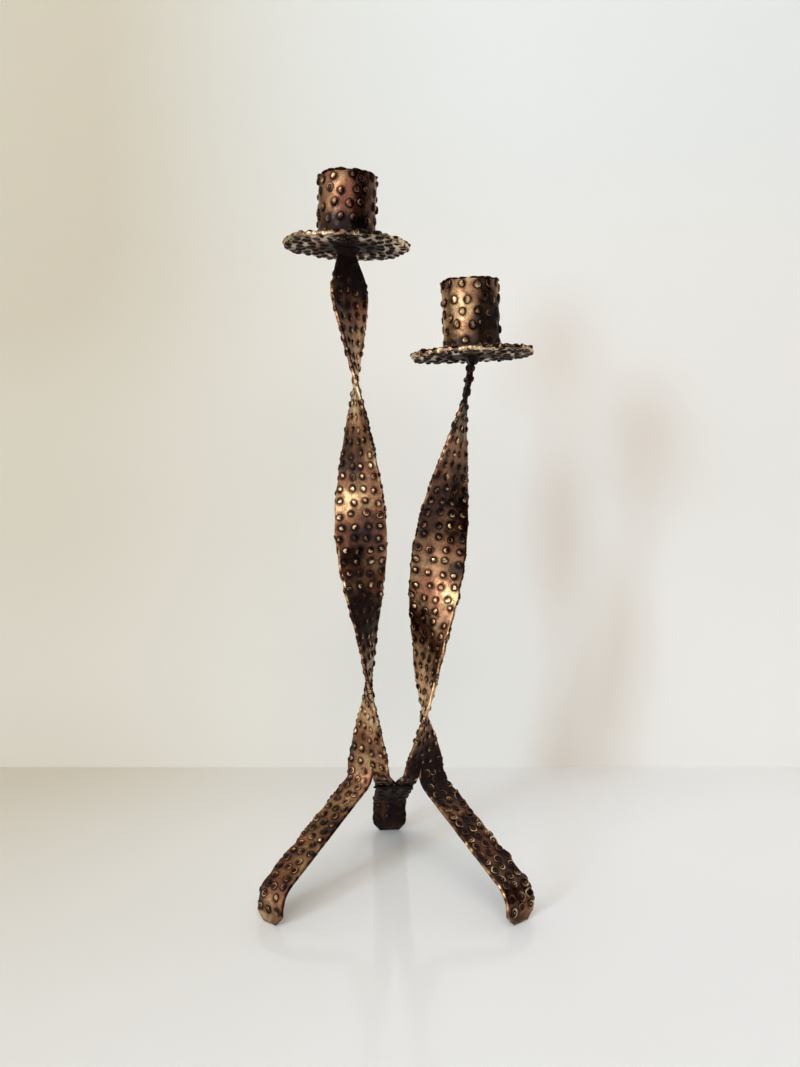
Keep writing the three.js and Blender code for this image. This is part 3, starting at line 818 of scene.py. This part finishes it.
# %% The function of a stem's strip
def strip_of(stem):
    """The function of one stem's whole strip, and its sizes.

    Above the slit the middle line goes straight from base to seat and sways sideways, and the
    direction across turns about the vertical. Below it the leg and the tail each follow a bent
    line while the direction across turns from the stem's to their own.
    """
    side, width = stem["side"], stem["leg_width"] + TAIL_WIDTH
    slit = TAIL_WIDTH - width / 2
    base = np.array([side * STEM_SPACING / 2, 0, FORK_HEIGHT])
    height = stem["seat"][2] - FORK_HEIGHT
    sway, turn = smooth_through(stem["sway"]), smooth_through(stem["turn"])
    fork_way = np.array([side * math.cos(stem["fork_angle"]), math.sin(stem["fork_angle"]), 0])
    leg_half, tail_half = stem["leg_width"] / 2, TAIL_WIDTH / 2
    leg_middle, tail_middle = slit + leg_half, slit - tail_half

    def middle(v):
        share = v / height
        line = between(share, base, stem["seat"])
        line[..., 0] += sway(share)
        return line

    def narrowing(v):
        """The share of the full width that is left near the neck."""
        return 1 - (1 - NECK_WIDTH / width) * (1 - smooth_step(height - v, 0, NECK_LENGTH))

    def upper(u, v):
        along = unit(middle(v + 0.5) - middle(v - 0.5))
        along = unit(between(smooth_step(v, 0, 8), UP, along))
        angle = side * np.radians(turn(v / height))
        x, y = fork_way[0], fork_way[1]
        turned = (x * np.cos(angle) - y * np.sin(angle), x * np.sin(angle) + y * np.cos(angle))
        across = square_to(np.stack([*turned, np.zeros_like(angle)], axis=-1), along)
        point = middle(v) + across * (u * narrowing(v))[..., None]
        return point, np.cross(along, across) * -side

    def limb(at, length, origin, half, chamfer, end_across, turn_length, start):
        """A leg or tail: its strip follows a line while its width turns to an end direction."""

        def surface(u, run):
            point, down = at(run)
            rough = between(smooth_step(run, 0, turn_length), fork_way, end_across)
            across = square_to(rough, down)
            reach = (u - start) * chamfered(length - run, half, chamfer)
            return origin + point + across * reach[..., None], np.cross(down, across) * side

        return surface

    leg_way = np.array([side * math.sin(SPLAY), -math.cos(SPLAY), 0])
    leg_across = np.array([side * math.cos(SPLAY), math.sin(SPLAY), 0])
    corners = [(0, 0), (0, HIP_HEIGHT - FORK_HEIGHT)]
    corners += [(FRONT_REACH, FRONT_FOOT - FORK_HEIGHT), (FRONT_REACH, -FORK_HEIGHT)]
    flat = bent_line(corners, (HIP_RADIUS, ANKLE_RADIUS))
    leg_at, leg_length = runner(flat[:, :1] * leg_way + flat[:, 1:] * UP)
    leg_start = base + fork_way * leg_middle
    leg_end = (leg_half, TOE_CHAMFER, leg_across)
    leg = limb(leg_at, leg_length, leg_start, *leg_end, HIP_TURN, leg_middle)

    def on_lap(out):
        place = REAR_WAY * out + UP * rear_leg_height(out) + REAR_TOP * (THICKNESS + LAP_GAP)
        return place + REAR_ACROSS * side * (tail_half + TAILS_GAP / 2)

    tail_start = base + fork_way * tail_middle
    lap, lap_end = on_lap(LAP_START), on_lap(LAP_START + LAP_LENGTH)
    level = math.hypot(*(lap - tail_start)[:2])
    knee = np.array([*tail_start[:2], lap[2] + level * math.tan(SLOPE)])
    share = np.linspace(0, 1, 80)[:, None]
    pulls = (tail_start, between(0.7, tail_start, knee), between(0.55, lap, knee), lap)
    weights = ((1 - share) ** 3, 3 * share * (1 - share) ** 2, 3 * share**2 * (1 - share), share**3)
    curve = sum(weight * pull for weight, pull in zip(weights, pulls))
    bend_length = runner(curve)[1]
    tail_at, tail_length = runner(np.concatenate([curve, [lap_end]]) - tail_start)
    tail_end = (tail_half, TAIL_CHAMFER, side * REAR_ACROSS)
    tail = limb(tail_at, tail_length, tail_start, *tail_end, bend_length, tail_middle)

    def ragged(u, v):
        """u with both outer edges of the strip moved in and out a little, as on the real one."""
        far = np.clip(2 * np.abs(u) / width, 0, 1) ** 4
        wander = np.where(u > 0, waver(v, 9.0, 21 + side), waver(v, 8.0, 31 + side))
        return u + np.where(v < 0, 0.4, 0.25) * far * wander

    def strip(u, v, outer=None):
        outer = u > slit if outer is None else np.broadcast_to(outer, np.shape(u))
        u = ragged(u, v)
        below = np.clip(-v, 0, None)
        parts = (upper(u, np.clip(v, 0, None)), leg(u, below), tail(u, below))
        which = np.where(v >= 0, 0, np.where(outer, 1, 2))[..., None]
        point, front = (np.choose(which, [part[k] for part in parts]) for k in (0, 1))
        return point - CENTRE, front

    sizes = {"width": width, "slit": slit, "height": height}
    sizes |= {"leg_length": leg_length, "tail_length": tail_length, "narrowing": narrowing}
    return strip, sizes


left_strip, left_sizes = strip_of(LEFT)
right_strip, right_sizes = strip_of(RIGHT)
print("left strip starts at", np.round(left_strip(np.array([0.0]), np.array([0.0]))[0], 2))


# %% [markdown]
# ## One bronze for all the metal
#
# The finish is one recipe in a node group. Large patches, small patches and the four attributes
# add up to one number for how much the dark finish has worn, with painted highlight and painted
# shade mixed in, and that number runs from near black through brown to gold. Copper red shows in
# patches of its own. Fine specks of the dark finish stay on the bright places. Soot is rough and
# hardly metallic, and it lies in hollows, in soot-covered areas and where shade is painted. A thin
# coat lies over all but bare, hollow, soot-covered and painted-shade places. Each kind of part has
# a material with its own shares of these, and the left cup is redder than the right one.


# %% The bronze recipe
def noise(tree, place, pitch, detail=2.0, rough=0.5):
    """Noise with lumps of about a pitch in millimetres, from 0 to 1."""
    values = {"Vector": place, "Scale": 1 / (pitch * MM), "Detail": detail, "Roughness": rough}
    return add_node(tree, "ShaderNodeTexNoise", values).outputs[0]


def colour_steps(tree, value, steps):
    """A colour that runs smoothly through [value, colour] steps."""
    node = add_node(tree, "ShaderNodeValToRGB", {0: value})
    node.color_ramp.interpolation = "EASE"
    first, *inner, last = steps
    for (at, shade), element in zip((first, last), node.color_ramp.elements):
        element.position, element.color = at, shade
    for at, shade in inner:
        node.color_ramp.elements.new(at).color = shade
    return node.outputs["Color"]


BARE_STEPS = [
    [0.0, (0.012, 0.007, 0.007, 1)],
    [0.28, (0.05, 0.026, 0.018, 1)],
    [0.5, (0.22, 0.115, 0.055, 1)],
    [0.75, (0.48, 0.34, 0.18, 1)],
    [1.0, (0.78, 0.67, 0.46, 1)],
]
RED_STEPS = [
    [0.0, (0.016, 0.007, 0.007, 1)],
    [0.45, (0.2, 0.07, 0.04, 1)],
    [0.9, (0.6, 0.3, 0.18, 1)],
]
SPECK_SHADE = (0.02, 0.012, 0.01, 1)


def bronze_group():
    """The node group for worn, dark bronze.

    How worn a point shows is a weighted sum of its attributes, the piece's own wear and two noises.
    Soot and painted shade are a smooth step of how little a point is worn, how little wear and
    painted light its area has, and how hollow it is. Roughness grows with the small noise, soot and
    specks, and falls with wear.
    """
    tree = bpy.data.node_groups.new("aged bronze", "ShaderNodeTree")
    starts = {"Worn": 0.0, "Hollow": 0.0, "Tone": 0.5, "Wear_and_painted_light": 0.0, "Wear": 0.4, "Copper": 0.4}
    for name, start in starts.items():
        socket = tree.interface.new_socket(name, in_out="INPUT", socket_type="NodeSocketFloat")
        socket.default_value = start
    tree.interface.new_socket("Color", in_out="OUTPUT", socket_type="NodeSocketColor")
    for name in ("Roughness", "Metallic", "Height"):
        tree.interface.new_socket(name, in_out="OUTPUT", socket_type="NodeSocketFloat")
    given = tree.nodes.new("NodeGroupInput").outputs
    place = add_node(tree, "ShaderNodeTexCoord").outputs["Object"]

    patches = rise_between(tree, noise(tree, place, 26.0, 3.0), 0.36, 0.66)
    grime = noise(tree, place, 5.0, 5.0, 0.68)
    specks = noise(tree, place, 0.9, 2.0, 0.6)
    shares = ((patches, 0.5), (given["Worn"], 0.32), (given["Hollow"], -0.95))
    shares += ((given["Tone"], 0.24), (given["Wear_and_painted_light"], 0.34), (grime, 0.7))
    worn = maths(tree, "SUBTRACT", weighted(tree, given["Wear"], *shares), 0.62)
    bare = colour_steps(tree, worn, BARE_STEPS)
    red = rise_between(tree, noise(tree, place, 12.0, 3.0), 0.4, 0.57)
    plain = weighted(tree, 1.0, (given["Worn"], -0.6))
    red = maths(tree, "MULTIPLY", maths(tree, "MULTIPLY", red, given["Copper"]), plain)
    toned = blend_colours(tree, red, bare, colour_steps(tree, worn, RED_STEPS))
    speck = maths(tree, "MULTIPLY", rise_between(tree, specks, 0.56, 0.64), 0.55)
    shown = blend_colours(tree, speck, toned, SPECK_SHADE)

    clean_and_painted_light = weighted(tree, given["Wear_and_painted_light"], (given["Worn"], 0.8), (given["Hollow"], -0.8))
    soot_and_painted_shade = rise_between(tree, maths(tree, "MULTIPLY", clean_and_painted_light, -1.0), 0.3, 1.4)
    metallic = weighted(tree, 1.0, (soot_and_painted_shade, -0.9))
    shares = ((grime, 0.34), (soot_and_painted_shade, 0.3), (given["Worn"], -0.08), (speck, 0.15))
    rough = weighted(tree, 0.11, *shares)
    height = weighted(tree, maths(tree, "MULTIPLY", grime, 0.7), (specks, 0.3))
    output = tree.nodes.new("NodeGroupOutput")
    made = {"Color": shown, "Roughness": rough, "Metallic": metallic, "Height": height}
    for name, value in made.items():
        tree.links.new(value, output.inputs[name])
    return tree


bronze = bronze_group()


def bronze_material(name, wear, copper, gloss, bump):
    """A material that takes the bronze recipe and a piece's attributes.

    Its coat is the gloss times 1 - |worn|, 1 - |hollow| and 1 + the wear and painted light of its
    area, each kept from 0 to 1.
    """
    material, tree, output = new_material(name)
    finish = add_node(tree, "ShaderNodeGroup", node_tree=bronze)
    for socket in ("Worn", "Hollow", "Tone", "Wear_and_painted_light"):
        label = socket.lower()
        read = add_node(tree, "ShaderNodeAttribute", attribute_name=label).outputs["Fac"]
        tree.links.new(read, finish.inputs[socket])
        if label in ("worn", "hollow"):
            read = maths(tree, "MULTIPLY", maths(tree, "ABSOLUTE", read), -1.0)
        if label != "tone":
            bright = add_node(tree, "ShaderNodeClamp", {"Value": maths(tree, "ADD", read, 1.0)})
            gloss = maths(tree, "MULTIPLY", bright.outputs[0], gloss)
    finish.inputs["Wear"].default_value = wear
    finish.inputs["Copper"].default_value = copper
    raised = {"Strength": bump, "Distance": 0.0003, "Height": finish.outputs["Height"]}
    normal = add_node(tree, "ShaderNodeBump", raised).outputs["Normal"]
    values = {
        "Base Color": finish.outputs["Color"],
        "Roughness": finish.outputs["Roughness"],
        "Metallic": finish.outputs["Metallic"],
        "Specular IOR Level": 0.1,
        "Specular Tint": (0.9, 0.72, 0.58, 1),
        "Coat Weight": gloss,
        "Coat Roughness": 0.1,
        "Coat IOR": 1.7,
        "Normal": normal,
        "Coat Normal": normal,
    }
    shader = add_node(tree, "ShaderNodeBsdfPrincipled", values)
    tree.links.new(shader.outputs[0], output.inputs[0])
    return material


strip_bronze = bronze_material("strip bronze", 0.34, 0.65, 0.2, 0.9)
pan_bronze = bronze_material("pan bronze", 0.6, 0.3, 1.0, 0.6)
cup_bronze = {
    "left": bronze_material("left cup bronze", 0.34, 0.95, 0.2, 0.9),
    "right": bronze_material("right cup bronze", 0.4, 0.12, 0.2, 0.9),
}
weld_bronze = bronze_material("weld bronze", -0.15, 0.3, 0.05, 0.8)
print("materials:", [m.name for m in bpy.data.materials])

# %% [markdown]
# ## Stems
#
# The strip is covered on both faces by rows of four drops, or fewer where it narrows. More drops,
# smaller and set at random, stand on its edges, which is why the edges look beaded. Low ripples of
# weld cross each tail where it lies on the rear leg.

# %% Make the stems
# Steps of the grid across and along a strip, and the spacings of drops and of rows of them
ACROSS_PITCH = 0.72
STRIP_PITCH = 0.66
DROP_SPACING = 6.3
ROW_PITCH = 6.1
LEG_ROW_PITCH = 4.9
TAIL_ROW_PITCH = 5.2
RIPPLE_PITCH = 1.7
EDGE_SPACING = 4.5
EDGE_INSET = 0.25
STEM_DROP = {"radius": 1.5, "height": 1.0, "sunk": 0.2, "length": 1.08, "shine": 1.3}
EDGE_DROP = {"radius": 1.0, "height": 0.6, "sunk": 0.0, "length": 1.4, "shine": 0.5}
RIPPLE = {"radius": 4.6, "height": 0.55, "sunk": 0.0, "length": 0.2, "shine": 0.1}


def add_edge_drops(metal, sheet, edge, half, v, seed):
    """Adds small drops on one long edge of a strip, 1 for the edge where u is greatest and -1."""
    point, across, along, normal = stand_on(sheet, np.full(len(v), edge * (half - EDGE_INSET)), v)
    add_drops(metal, point, normal, along, edge * across, EDGE_DROP, seed + 11 + edge)


def make_stem(stem, strip, sizes, seed):
    """Makes one stem: its leg side and its tail side, which meet in one column above the slit."""
    metal = Metal()
    width, slit, height = sizes["width"], sizes["slit"], sizes["height"]
    narrowing, side = sizes["narrowing"], stem["side"]
    rows = np.arange(2.8, height - 5, ROW_PITCH)

    def places_at(k, row):
        count = max(2, round(width * narrowing(row) / DROP_SPACING))
        return across_strip(count, -width / 2, width / 2) + 0.5 * (-1) ** k

    leg_rows = np.arange(3.5, sizes["leg_length"] - 2.5, LEG_ROW_PITCH)
    tail_rows = np.arange(3.5, sizes["tail_length"] - LAP_LENGTH, TAIL_ROW_PITCH)

    def leg_places(k, row):
        return across_strip(3 if side > 0 else 2 + k % 2, slit + 0.6, width / 2 - 0.2)

    def tail_places(k, row):
        return across_strip(2, -width / 2 + 0.4, slit - 0.6)

    centres = []
    for way in (1, -1):
        u, v = rows_of_drops(rows, places_at, 0.6, seed + way)
        upper = place_drops(metal, strip, u, v, STEM_DROP, way, THICKNESS, seed + way)
        u, v = rows_of_drops(leg_rows, leg_places, 0.4, seed + 2 * way)
        leg = place_drops(metal, strip, u, -v, stem["leg_drop"], way, THICKNESS, seed + 2 * way)
        u, v = rows_of_drops(tail_rows, tail_places, 0.4, seed + 3 * way)
        tail = place_drops(metal, strip, u, -v, STEM_DROP, way, THICKNESS, seed + 3 * way)
        centres.append(np.concatenate([upper, leg, tail]))

    tip = sizes["tail_length"]
    v = np.arange(tip - LAP_LENGTH + 1, tip - 1.5, RIPPLE_PITCH)
    u = np.full(len(v), slit - TAIL_WIDTH / 2)
    place_drops(metal, strip, u, -v, RIPPLE, 1, THICKNESS, seed + 7)

    rng = np.random.default_rng(seed + 9)
    for edge, low in ((1, -sizes["leg_length"] + 6), (-1, 4)):
        v = rng.uniform(low, height - 12, round((height - low) / EDGE_SPACING))
        add_edge_drops(metal, strip, edge, width / 2, v, seed)

    up = np.linspace(0, height + 0.4, round(height / STRIP_PITCH))
    for outer, low, high, length in (
        (True, slit, width / 2, sizes["leg_length"]),
        (False, -width / 2, slit, sizes["tail_length"]),
    ):
        down = spread(-length, 0, STRIP_PITCH, (True, False))
        u, v = np.meshgrid(spread(low, high, ACROSS_PITCH), np.concatenate([down[:-1], up]))
        narrow = np.where(v > 0, narrowing(v), 1)
        to_side = (width / 2 - np.abs(u)) * narrow
        to_slit = np.where(v > 0, np.hypot(u - slit, v), np.abs(u - slit))
        to_edge = np.minimum(np.minimum(to_side, to_slit), np.clip(v + length, 0, None))
        sheet = partial(strip, outer=outer)
        # On the legs the edge factor is painted light and shade; above them it is wear.
        edge_wear_and_light = np.where(v < 0, stem["leg_edge_painted_light"], 1.2)
        add_faces(metal, sheet, u, v, to_edge, THICKNESS, centres, STEM_DROP, seed, edge_wear_and_light)
    name = stem["name"] + "_stem"
    make_piece(name, metal, strip_bronze, "strip_bronze", name)


make_stem(LEFT, left_strip, left_sizes, 100)
make_stem(RIGHT, right_strip, right_sizes, 200)

# %% [markdown]
# ## The rear leg
#
# A wider strip of its own runs back under both tails and bends down to one foot.

# %% Make the rear leg
REAR_ROW_PITCH = 6.6
REAR_EDGE_DROPS = 17
REAR_LEG_DROP = {"radius": 1.9, "height": 0.9, "sunk": 0.4, "length": 1.0, "shine": 0.4}


def rear_leg_sheet(u, v):
    """The rear leg: u across it, v down it from its end under the tails."""
    point, down = rear_leg_at(v)
    across = square_to(np.broadcast_to(REAR_ACROSS, point.shape), down)
    reach = u * chamfered(rear_leg_length - v, REAR_HALF, REAR_CHAMFER)
    reach = reach + 0.2 * (np.abs(u) / REAR_HALF) ** 4 * waver(v, 8.0, 41)
    return point + across * reach[..., None] - CENTRE, -np.cross(down, across)


def make_rear_leg(seed):
    """Makes the rear leg. Its drops start where the tails end."""
    metal = Metal()
    centres = []
    for way, first in ((1, LAP_LENGTH + 5), (-1, 3)):
        rows = np.arange(first, rear_leg_length - 4, REAR_ROW_PITCH)
        u, v = rows_of_drops(
            rows, lambda k, row: across_strip(3, -REAR_HALF, REAR_HALF), 0.6, seed + way
        )
        centres.append(
            place_drops(metal, rear_leg_sheet, u, v, REAR_LEG_DROP, way, THICKNESS, seed + way)
        )
    rng = np.random.default_rng(seed + 9)
    for edge in (1, -1):
        v = rng.uniform(3, rear_leg_length - 6, REAR_EDGE_DROPS)
        add_edge_drops(metal, rear_leg_sheet, edge, REAR_HALF, v, seed)
    rows = spread(0, rear_leg_length, STRIP_PITCH)
    u, v = np.meshgrid(spread(-REAR_HALF, REAR_HALF, ACROSS_PITCH), rows)
    to_edge = np.minimum(REAR_HALF - np.abs(u), np.minimum(v, rear_leg_length - v))
    add_faces(metal, rear_leg_sheet, u, v, to_edge, THICKNESS, centres, STEM_DROP, seed, 0.0)
    make_piece("rear_leg", metal, strip_bronze, "strip_bronze", "rear_leg")


rear_corners = [(out, rear_leg_height(out)) for out in (LAP_START, REAR_REACH)]
rear_flat = bent_line([*rear_corners, (REAR_REACH, 0)], (ANKLE_RADIUS,))
rear_leg_at, rear_leg_length = runner(rear_flat[:, :1] * REAR_WAY + rear_flat[:, 1:] * UP)
make_rear_leg(300)

# %% [markdown]
# ## Pans and cups
#
# Each stem ends in a head that leans a little: a round drip pan with an open tube on it for the
# candle. On both, u is the angle round the head. On the pan v is the distance from its middle, and
# on the cup it is the height above the cup's foot.

# %% Make the pans and the cups
PAN_RADIUS = 31.0
PAN_THICKNESS = 2.0
CUP_RADIUS = 13.0
CUP_WALL = 2.0
CUP_FOOT = 2.3
PAN_DROP = {"radius": 1.6, "height": 1.0, "sunk": 0.0, "length": 1.25}
PAN_DROP |= {"flatness": 2.05, "spread": 0.22}
RIM_DROP = {"radius": 1.35, "height": 0.6, "sunk": 0.0, "length": 1.7, "shine": 1.4}
CUP_DROP = {"radius": 1.65, "height": 1.05, "sunk": 0.15, "length": 1.25, "shine": 0.6}
TURNS = np.linspace(0, 2 * math.pi, 241)

# How many drops stand at each distance from a pan's middle, and how they shine, on top and beneath
TOP_RINGS, TOP_SHINE = {29.2: 30, 23.4: 22}, 0.9
# The drops beneath the pans are made darker than their sheet, partly as painted shade.
LOWER_RINGS, LOWER_SHINE = {28.4: 26, 23.4: 22, 17.8: 16, 12.4: 10}, -2.2
PAN_RIM_DROPS = 44
CUP_ROWS = 5
CUP_ROW_DROPS = 13
CUP_RIM_DROPS = 20


def even_angles(count):
    """Angles that divide the way round a head into equal parts."""
    return np.arange(count) * 2 * math.pi / count


def head_frame(stem):
    """The place of a head and its three directions, which lean about Y and then about X."""
    about_y, about_x = stem["lean"]
    x_way = np.array([math.cos(about_y), 0, -math.sin(about_y)])
    z_way = np.array([math.sin(about_y), 0, math.cos(about_y)])
    c, s = math.cos(about_x), math.sin(about_x)
    tilt = np.array([[1, 0, 0], [0, c, -s], [0, s, c]])
    return stem["seat"] - CENTRE, np.array([tilt @ x_way, tilt @ (0, 1, 0), tilt @ z_way])


def on_head(stem, radius, angle, height):
    """Points on a head from their radius, angle and height above its seat."""
    seat, ways = head_frame(stem)
    return seat + on_circle(angle, radius, height) @ ways


def outward_on_head(stem, angle):
    """The level direction away from a head's middle at each angle."""
    return on_head(stem, 1.0, angle, 0.0) - on_head(stem, 0.0, angle, 0.0)


def make_pan(stem, seed):
    """Makes a pan: drops in rings beneath it, and on top of it only near the rim."""
    metal = Metal()
    top = head_frame(stem)[1][2]

    def sheet(u, v):
        ring = on_circle(u, PAN_RADIUS)
        rim = 0.28 * waves(ring, 8.0, seed) * (v / PAN_RADIUS) ** 6
        sag = 0.25 * waves(ring, 40.0, seed + 1) * (v / PAN_RADIUS) ** 2
        point = on_head(stem, v + rim - 0.3, u, PAN_THICKNESS / 2 + sag)
        return point, np.broadcast_to(top, point.shape)

    centres = []
    for way, rings, shine in ((1, TOP_RINGS, TOP_SHINE), (-1, LOWER_RINGS, LOWER_SHINE)):
        u, v = rows_of_drops(
            list(rings), lambda k, r, rings=rings: even_angles(rings[r]) + k, 0.0, seed + way
        )
        rng = np.random.default_rng(seed + 5 * way + 6)
        u, v = u + rng.normal(0, 0.5, len(u)) / v, v + rng.normal(0, 0.5, len(v))
        size = PAN_DROP | {"shine": shine}
        centres.append(place_drops(metal, sheet, u, v, size, way, PAN_THICKNESS, seed + way, 20.0))
    rng = np.random.default_rng(seed + 20)
    u = even_angles(PAN_RIM_DROPS) + rng.normal(0, 0.03, PAN_RIM_DROPS)
    point, across, along, normal = stand_on(sheet, u, np.full(len(u), PAN_RADIUS - 0.6), 30.0)
    point = point + top * rng.uniform(-0.4, 0.6, (len(u), 1))
    add_drops(metal, point, normal, across, along, RIM_DROP, seed + 21)

    v_places = spread(0, PAN_RADIUS, 0.8, (False, True))
    u, v = np.meshgrid(TURNS, v_places)
    add_faces(metal, sheet, u, v, PAN_RADIUS - v, PAN_THICKNESS, centres, PAN_DROP, seed, 1.1)
    name = stem["name"] + "_drip_pan"
    make_piece(name, metal, pan_bronze, "pan_bronze", name)


def make_cup(stem, seed):
    """Makes a cup: an open tube with rows of drops outside, each row turned half a drop on."""
    metal = Metal()
    tall = stem["cup_height"]

    def sheet(u, v):
        ring = on_circle(u, CUP_RADIUS)
        lift = 0.3 * waves(ring, 9.0, seed) * smooth_step(v, tall - 6, tall)
        point = on_head(stem, CUP_RADIUS, u, CUP_FOOT + v + lift - 0.2)
        return point, outward_on_head(stem, u)

    rows = np.linspace(4.2, tall - 3.4, CUP_ROWS)
    around, half_step = even_angles(CUP_ROW_DROPS), math.pi / CUP_ROW_DROPS
    u, v = rows_of_drops(rows, lambda k, row: around + k * half_step, 0.0, seed)
    rng = np.random.default_rng(seed + 3)
    u, v = u + rng.normal(0, 0.06, len(u)), v + rng.normal(0, 0.9, len(v))
    outside = place_drops(metal, sheet, u, v, CUP_DROP, 1, CUP_WALL, seed, CUP_RADIUS)
    u = even_angles(CUP_RIM_DROPS) + rng.normal(0, 0.08, CUP_RIM_DROPS)
    point, across, along, normal = stand_on(sheet, u, np.full(len(u), tall - 0.5), CUP_RADIUS)
    add_drops(metal, point + normal * 0.5, normal, across, along, RIM_DROP, seed + 4)

    u, v = np.meshgrid(TURNS, spread(0, tall, 0.75))
    to_edge = np.minimum(v, tall - v)
    centres = (outside, np.empty((0, 3)))
    add_faces(metal, sheet, u, v, to_edge, CUP_WALL, centres, CUP_DROP, seed)
    name = stem["name"] + "_candle_cup"
    make_piece(name, metal, cup_bronze[stem["name"]], "cup_bronze", name)


for number, stem in enumerate((LEFT, RIGHT)):
    make_pan(stem, 400 + 50 * number)
    make_cup(stem, 500 + 50 * number)

# %% [markdown]
# ## Welds
#
# A weld bead is a row of small waves, left by the torch as it moved along. There is a ring of it
# round the foot of each cup, an oval collar where each neck meets its pan, and a bead across the
# tip of each tail on the rear leg.

# %% Make the welds
# Half sizes of each weld's section: a ring's out and up, a collar's two, a bead's along, across, up
CUP_WELD_HALVES = (1.75, 1.45)
NECK_WELD_HALVES = (6.7, 3.4)
TAIL_WELD_HALVES = (4.4, 1.6, 1.5)
CUP_WELD_RIPPLES = 34
TAIL_WELD_RIPPLES = 4
SECTION = np.linspace(0, 2 * math.pi, 25)

# The height of a collar's outline from the seat of its head, and its share of the half sizes
NECK_WELD_HEIGHTS = (0.15, 0.15, -0.3, -1.2, -2.2, -3.0, -3.6, -4.1, -4.1)
NECK_WELD_SHARES = (0, 1.0, 1.02, 0.9, 0.82, 0.76, 0.66, 0.5, 0)


def add_closed(metal, points, ripple):
    """Adds a closed skin from rows of points, each row a ring, worn on its ripples' crests."""
    triangles = outward_triangles(points, points - points.mean(axis=(0, 1)))
    worn = np.clip(ripple, 0, 1)
    metal.add(points, triangles, worn, 0.6 * (1 - worn), 0.5)


def make_cup_weld(stem, seed):
    """A ring of weld: an ellipse carried round the cup, swelling many times on the way."""
    metal = Metal()
    angle, section = np.meshgrid(TURNS, SECTION)
    ring = on_circle(angle, CUP_RADIUS + CUP_WALL)
    phase = CUP_WELD_RIPPLES * angle + 1.4 * np.cos(section) + waves(ring, 15.0, seed)
    ripple = 0.5 + 0.5 * np.sin(phase)
    size = 1 + 0.1 * ripple + 0.07 * waves(ring, 6.0, seed + 1)
    wide, high = CUP_WELD_HALVES
    radius = CUP_RADIUS + CUP_WALL / 2 + 0.35 + wide * size * np.cos(section)
    points = on_head(stem, radius, angle, PAN_THICKNESS + 0.3 + high * size * np.sin(section))
    outward = outward_on_head(stem, angle) * np.cos(section)[..., None]
    triangles = outward_triangles(points, outward)
    metal.add(points, triangles, ripple * 0.8, 0.5 * (1 - ripple), 0.5)
    name = stem["name"] + "_cup_weld"
    make_piece(name, metal, weld_bronze, "weld_bronze", name)


def make_neck_weld(stem, strip, sizes, seed):
    """An oval collar that swells where the neck meets the pan, closed above and below."""
    metal = Metal()
    seat, ways = head_frame(stem)
    ends = strip(np.array([-1.0, 1.0]) * sizes["width"] / 4, np.full(2, sizes["height"]))[0]
    wide = square_to(ends[1] - ends[0], ways[2])
    narrow = np.cross(ways[2], wide)
    angle, rise = np.meshgrid(TURNS[::2], NECK_WELD_HEIGHTS)
    share = np.array(NECK_WELD_SHARES)[:, None]
    ring = on_circle(angle, 5.0, rise)
    ripple = np.clip(0.4 + 0.4 * waves(ring, 2.6, seed), 0, 1)
    size = share * (1 + 0.1 * ripple + 0.06 * waves(ring, 5.0, seed + 1))
    places = wide * (NECK_WELD_HALVES[0] * size * np.cos(angle))[..., None]
    places = places + narrow * (NECK_WELD_HALVES[1] * size * np.sin(angle))[..., None]
    add_closed(metal, seat + places + ways[2] * rise[..., None], ripple)
    name = stem["name"] + "_neck_weld"
    make_piece(name, metal, weld_bronze, "weld_bronze", name)


def make_tail_weld(stem, seed):
    """The bead across the tip of a tail, on the rear leg: a rippled bar with rounded ends.

    Its width and height shrink with the square root of 1 less the share of its half length to the
    power of 3.5.
    """
    metal = Metal()
    out = LAP_START + LAP_LENGTH
    centre = REAR_WAY * out + UP * rear_leg_height(out) + REAR_TOP * 1.3 - CENTRE
    aside = stem["side"] * (TAIL_WIDTH + TAILS_GAP) / 2
    centre = centre + REAR_ACROSS * aside + REAR_SLOPE_WAY * 0.7
    section, along = np.meshgrid(SECTION, np.linspace(-1, 1, 61))
    ripple = 0.5 + 0.5 * np.sin(along * TAIL_WELD_RIPPLES * math.pi + 0.8 * np.cos(section))
    size = (1 - np.abs(along) ** 3.5) ** 0.5 * (1 + 0.12 * ripple)
    parts = zip((along, size * np.cos(section), size * np.sin(section)), TAIL_WELD_HALVES)
    ways = (REAR_ACROSS, REAR_SLOPE_WAY, REAR_TOP)
    points = centre + sum((part * half)[..., None] * way for (part, half), way in zip(parts, ways))
    points = points + 0.1 * waves(points, 3.0, seed)[..., None] * REAR_TOP * size[..., None]
    add_closed(metal, points, ripple * 0.9)
    name = stem["name"] + "_tail_weld"
    make_piece(name, metal, weld_bronze, "weld_bronze", name)


for number, (stem, strip, sizes) in enumerate(
    ((LEFT, left_strip, left_sizes), (RIGHT, right_strip, right_sizes))
):
    make_cup_weld(stem, 600 + number)
    make_neck_weld(stem, strip, sizes, 610 + number)
    make_tail_weld(stem, 620 + number)

# %% [markdown]
# ## Sizes and the end
#
# The box of the CAD model and the box of what was made are printed side by side, to compare.

# %% Print the sizes and finish
new_low, new_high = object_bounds()
boxes = {
    "cad": [list(map(float, cad_low)), list(map(float, cad_high))],
    "visual": [list(map(float, new_low)), list(map(float, new_high))],
}
for label, (low, high) in boxes.items():
    print(label, "box in mm:", [round(v / MM, 1) for v in (*low, *high)])
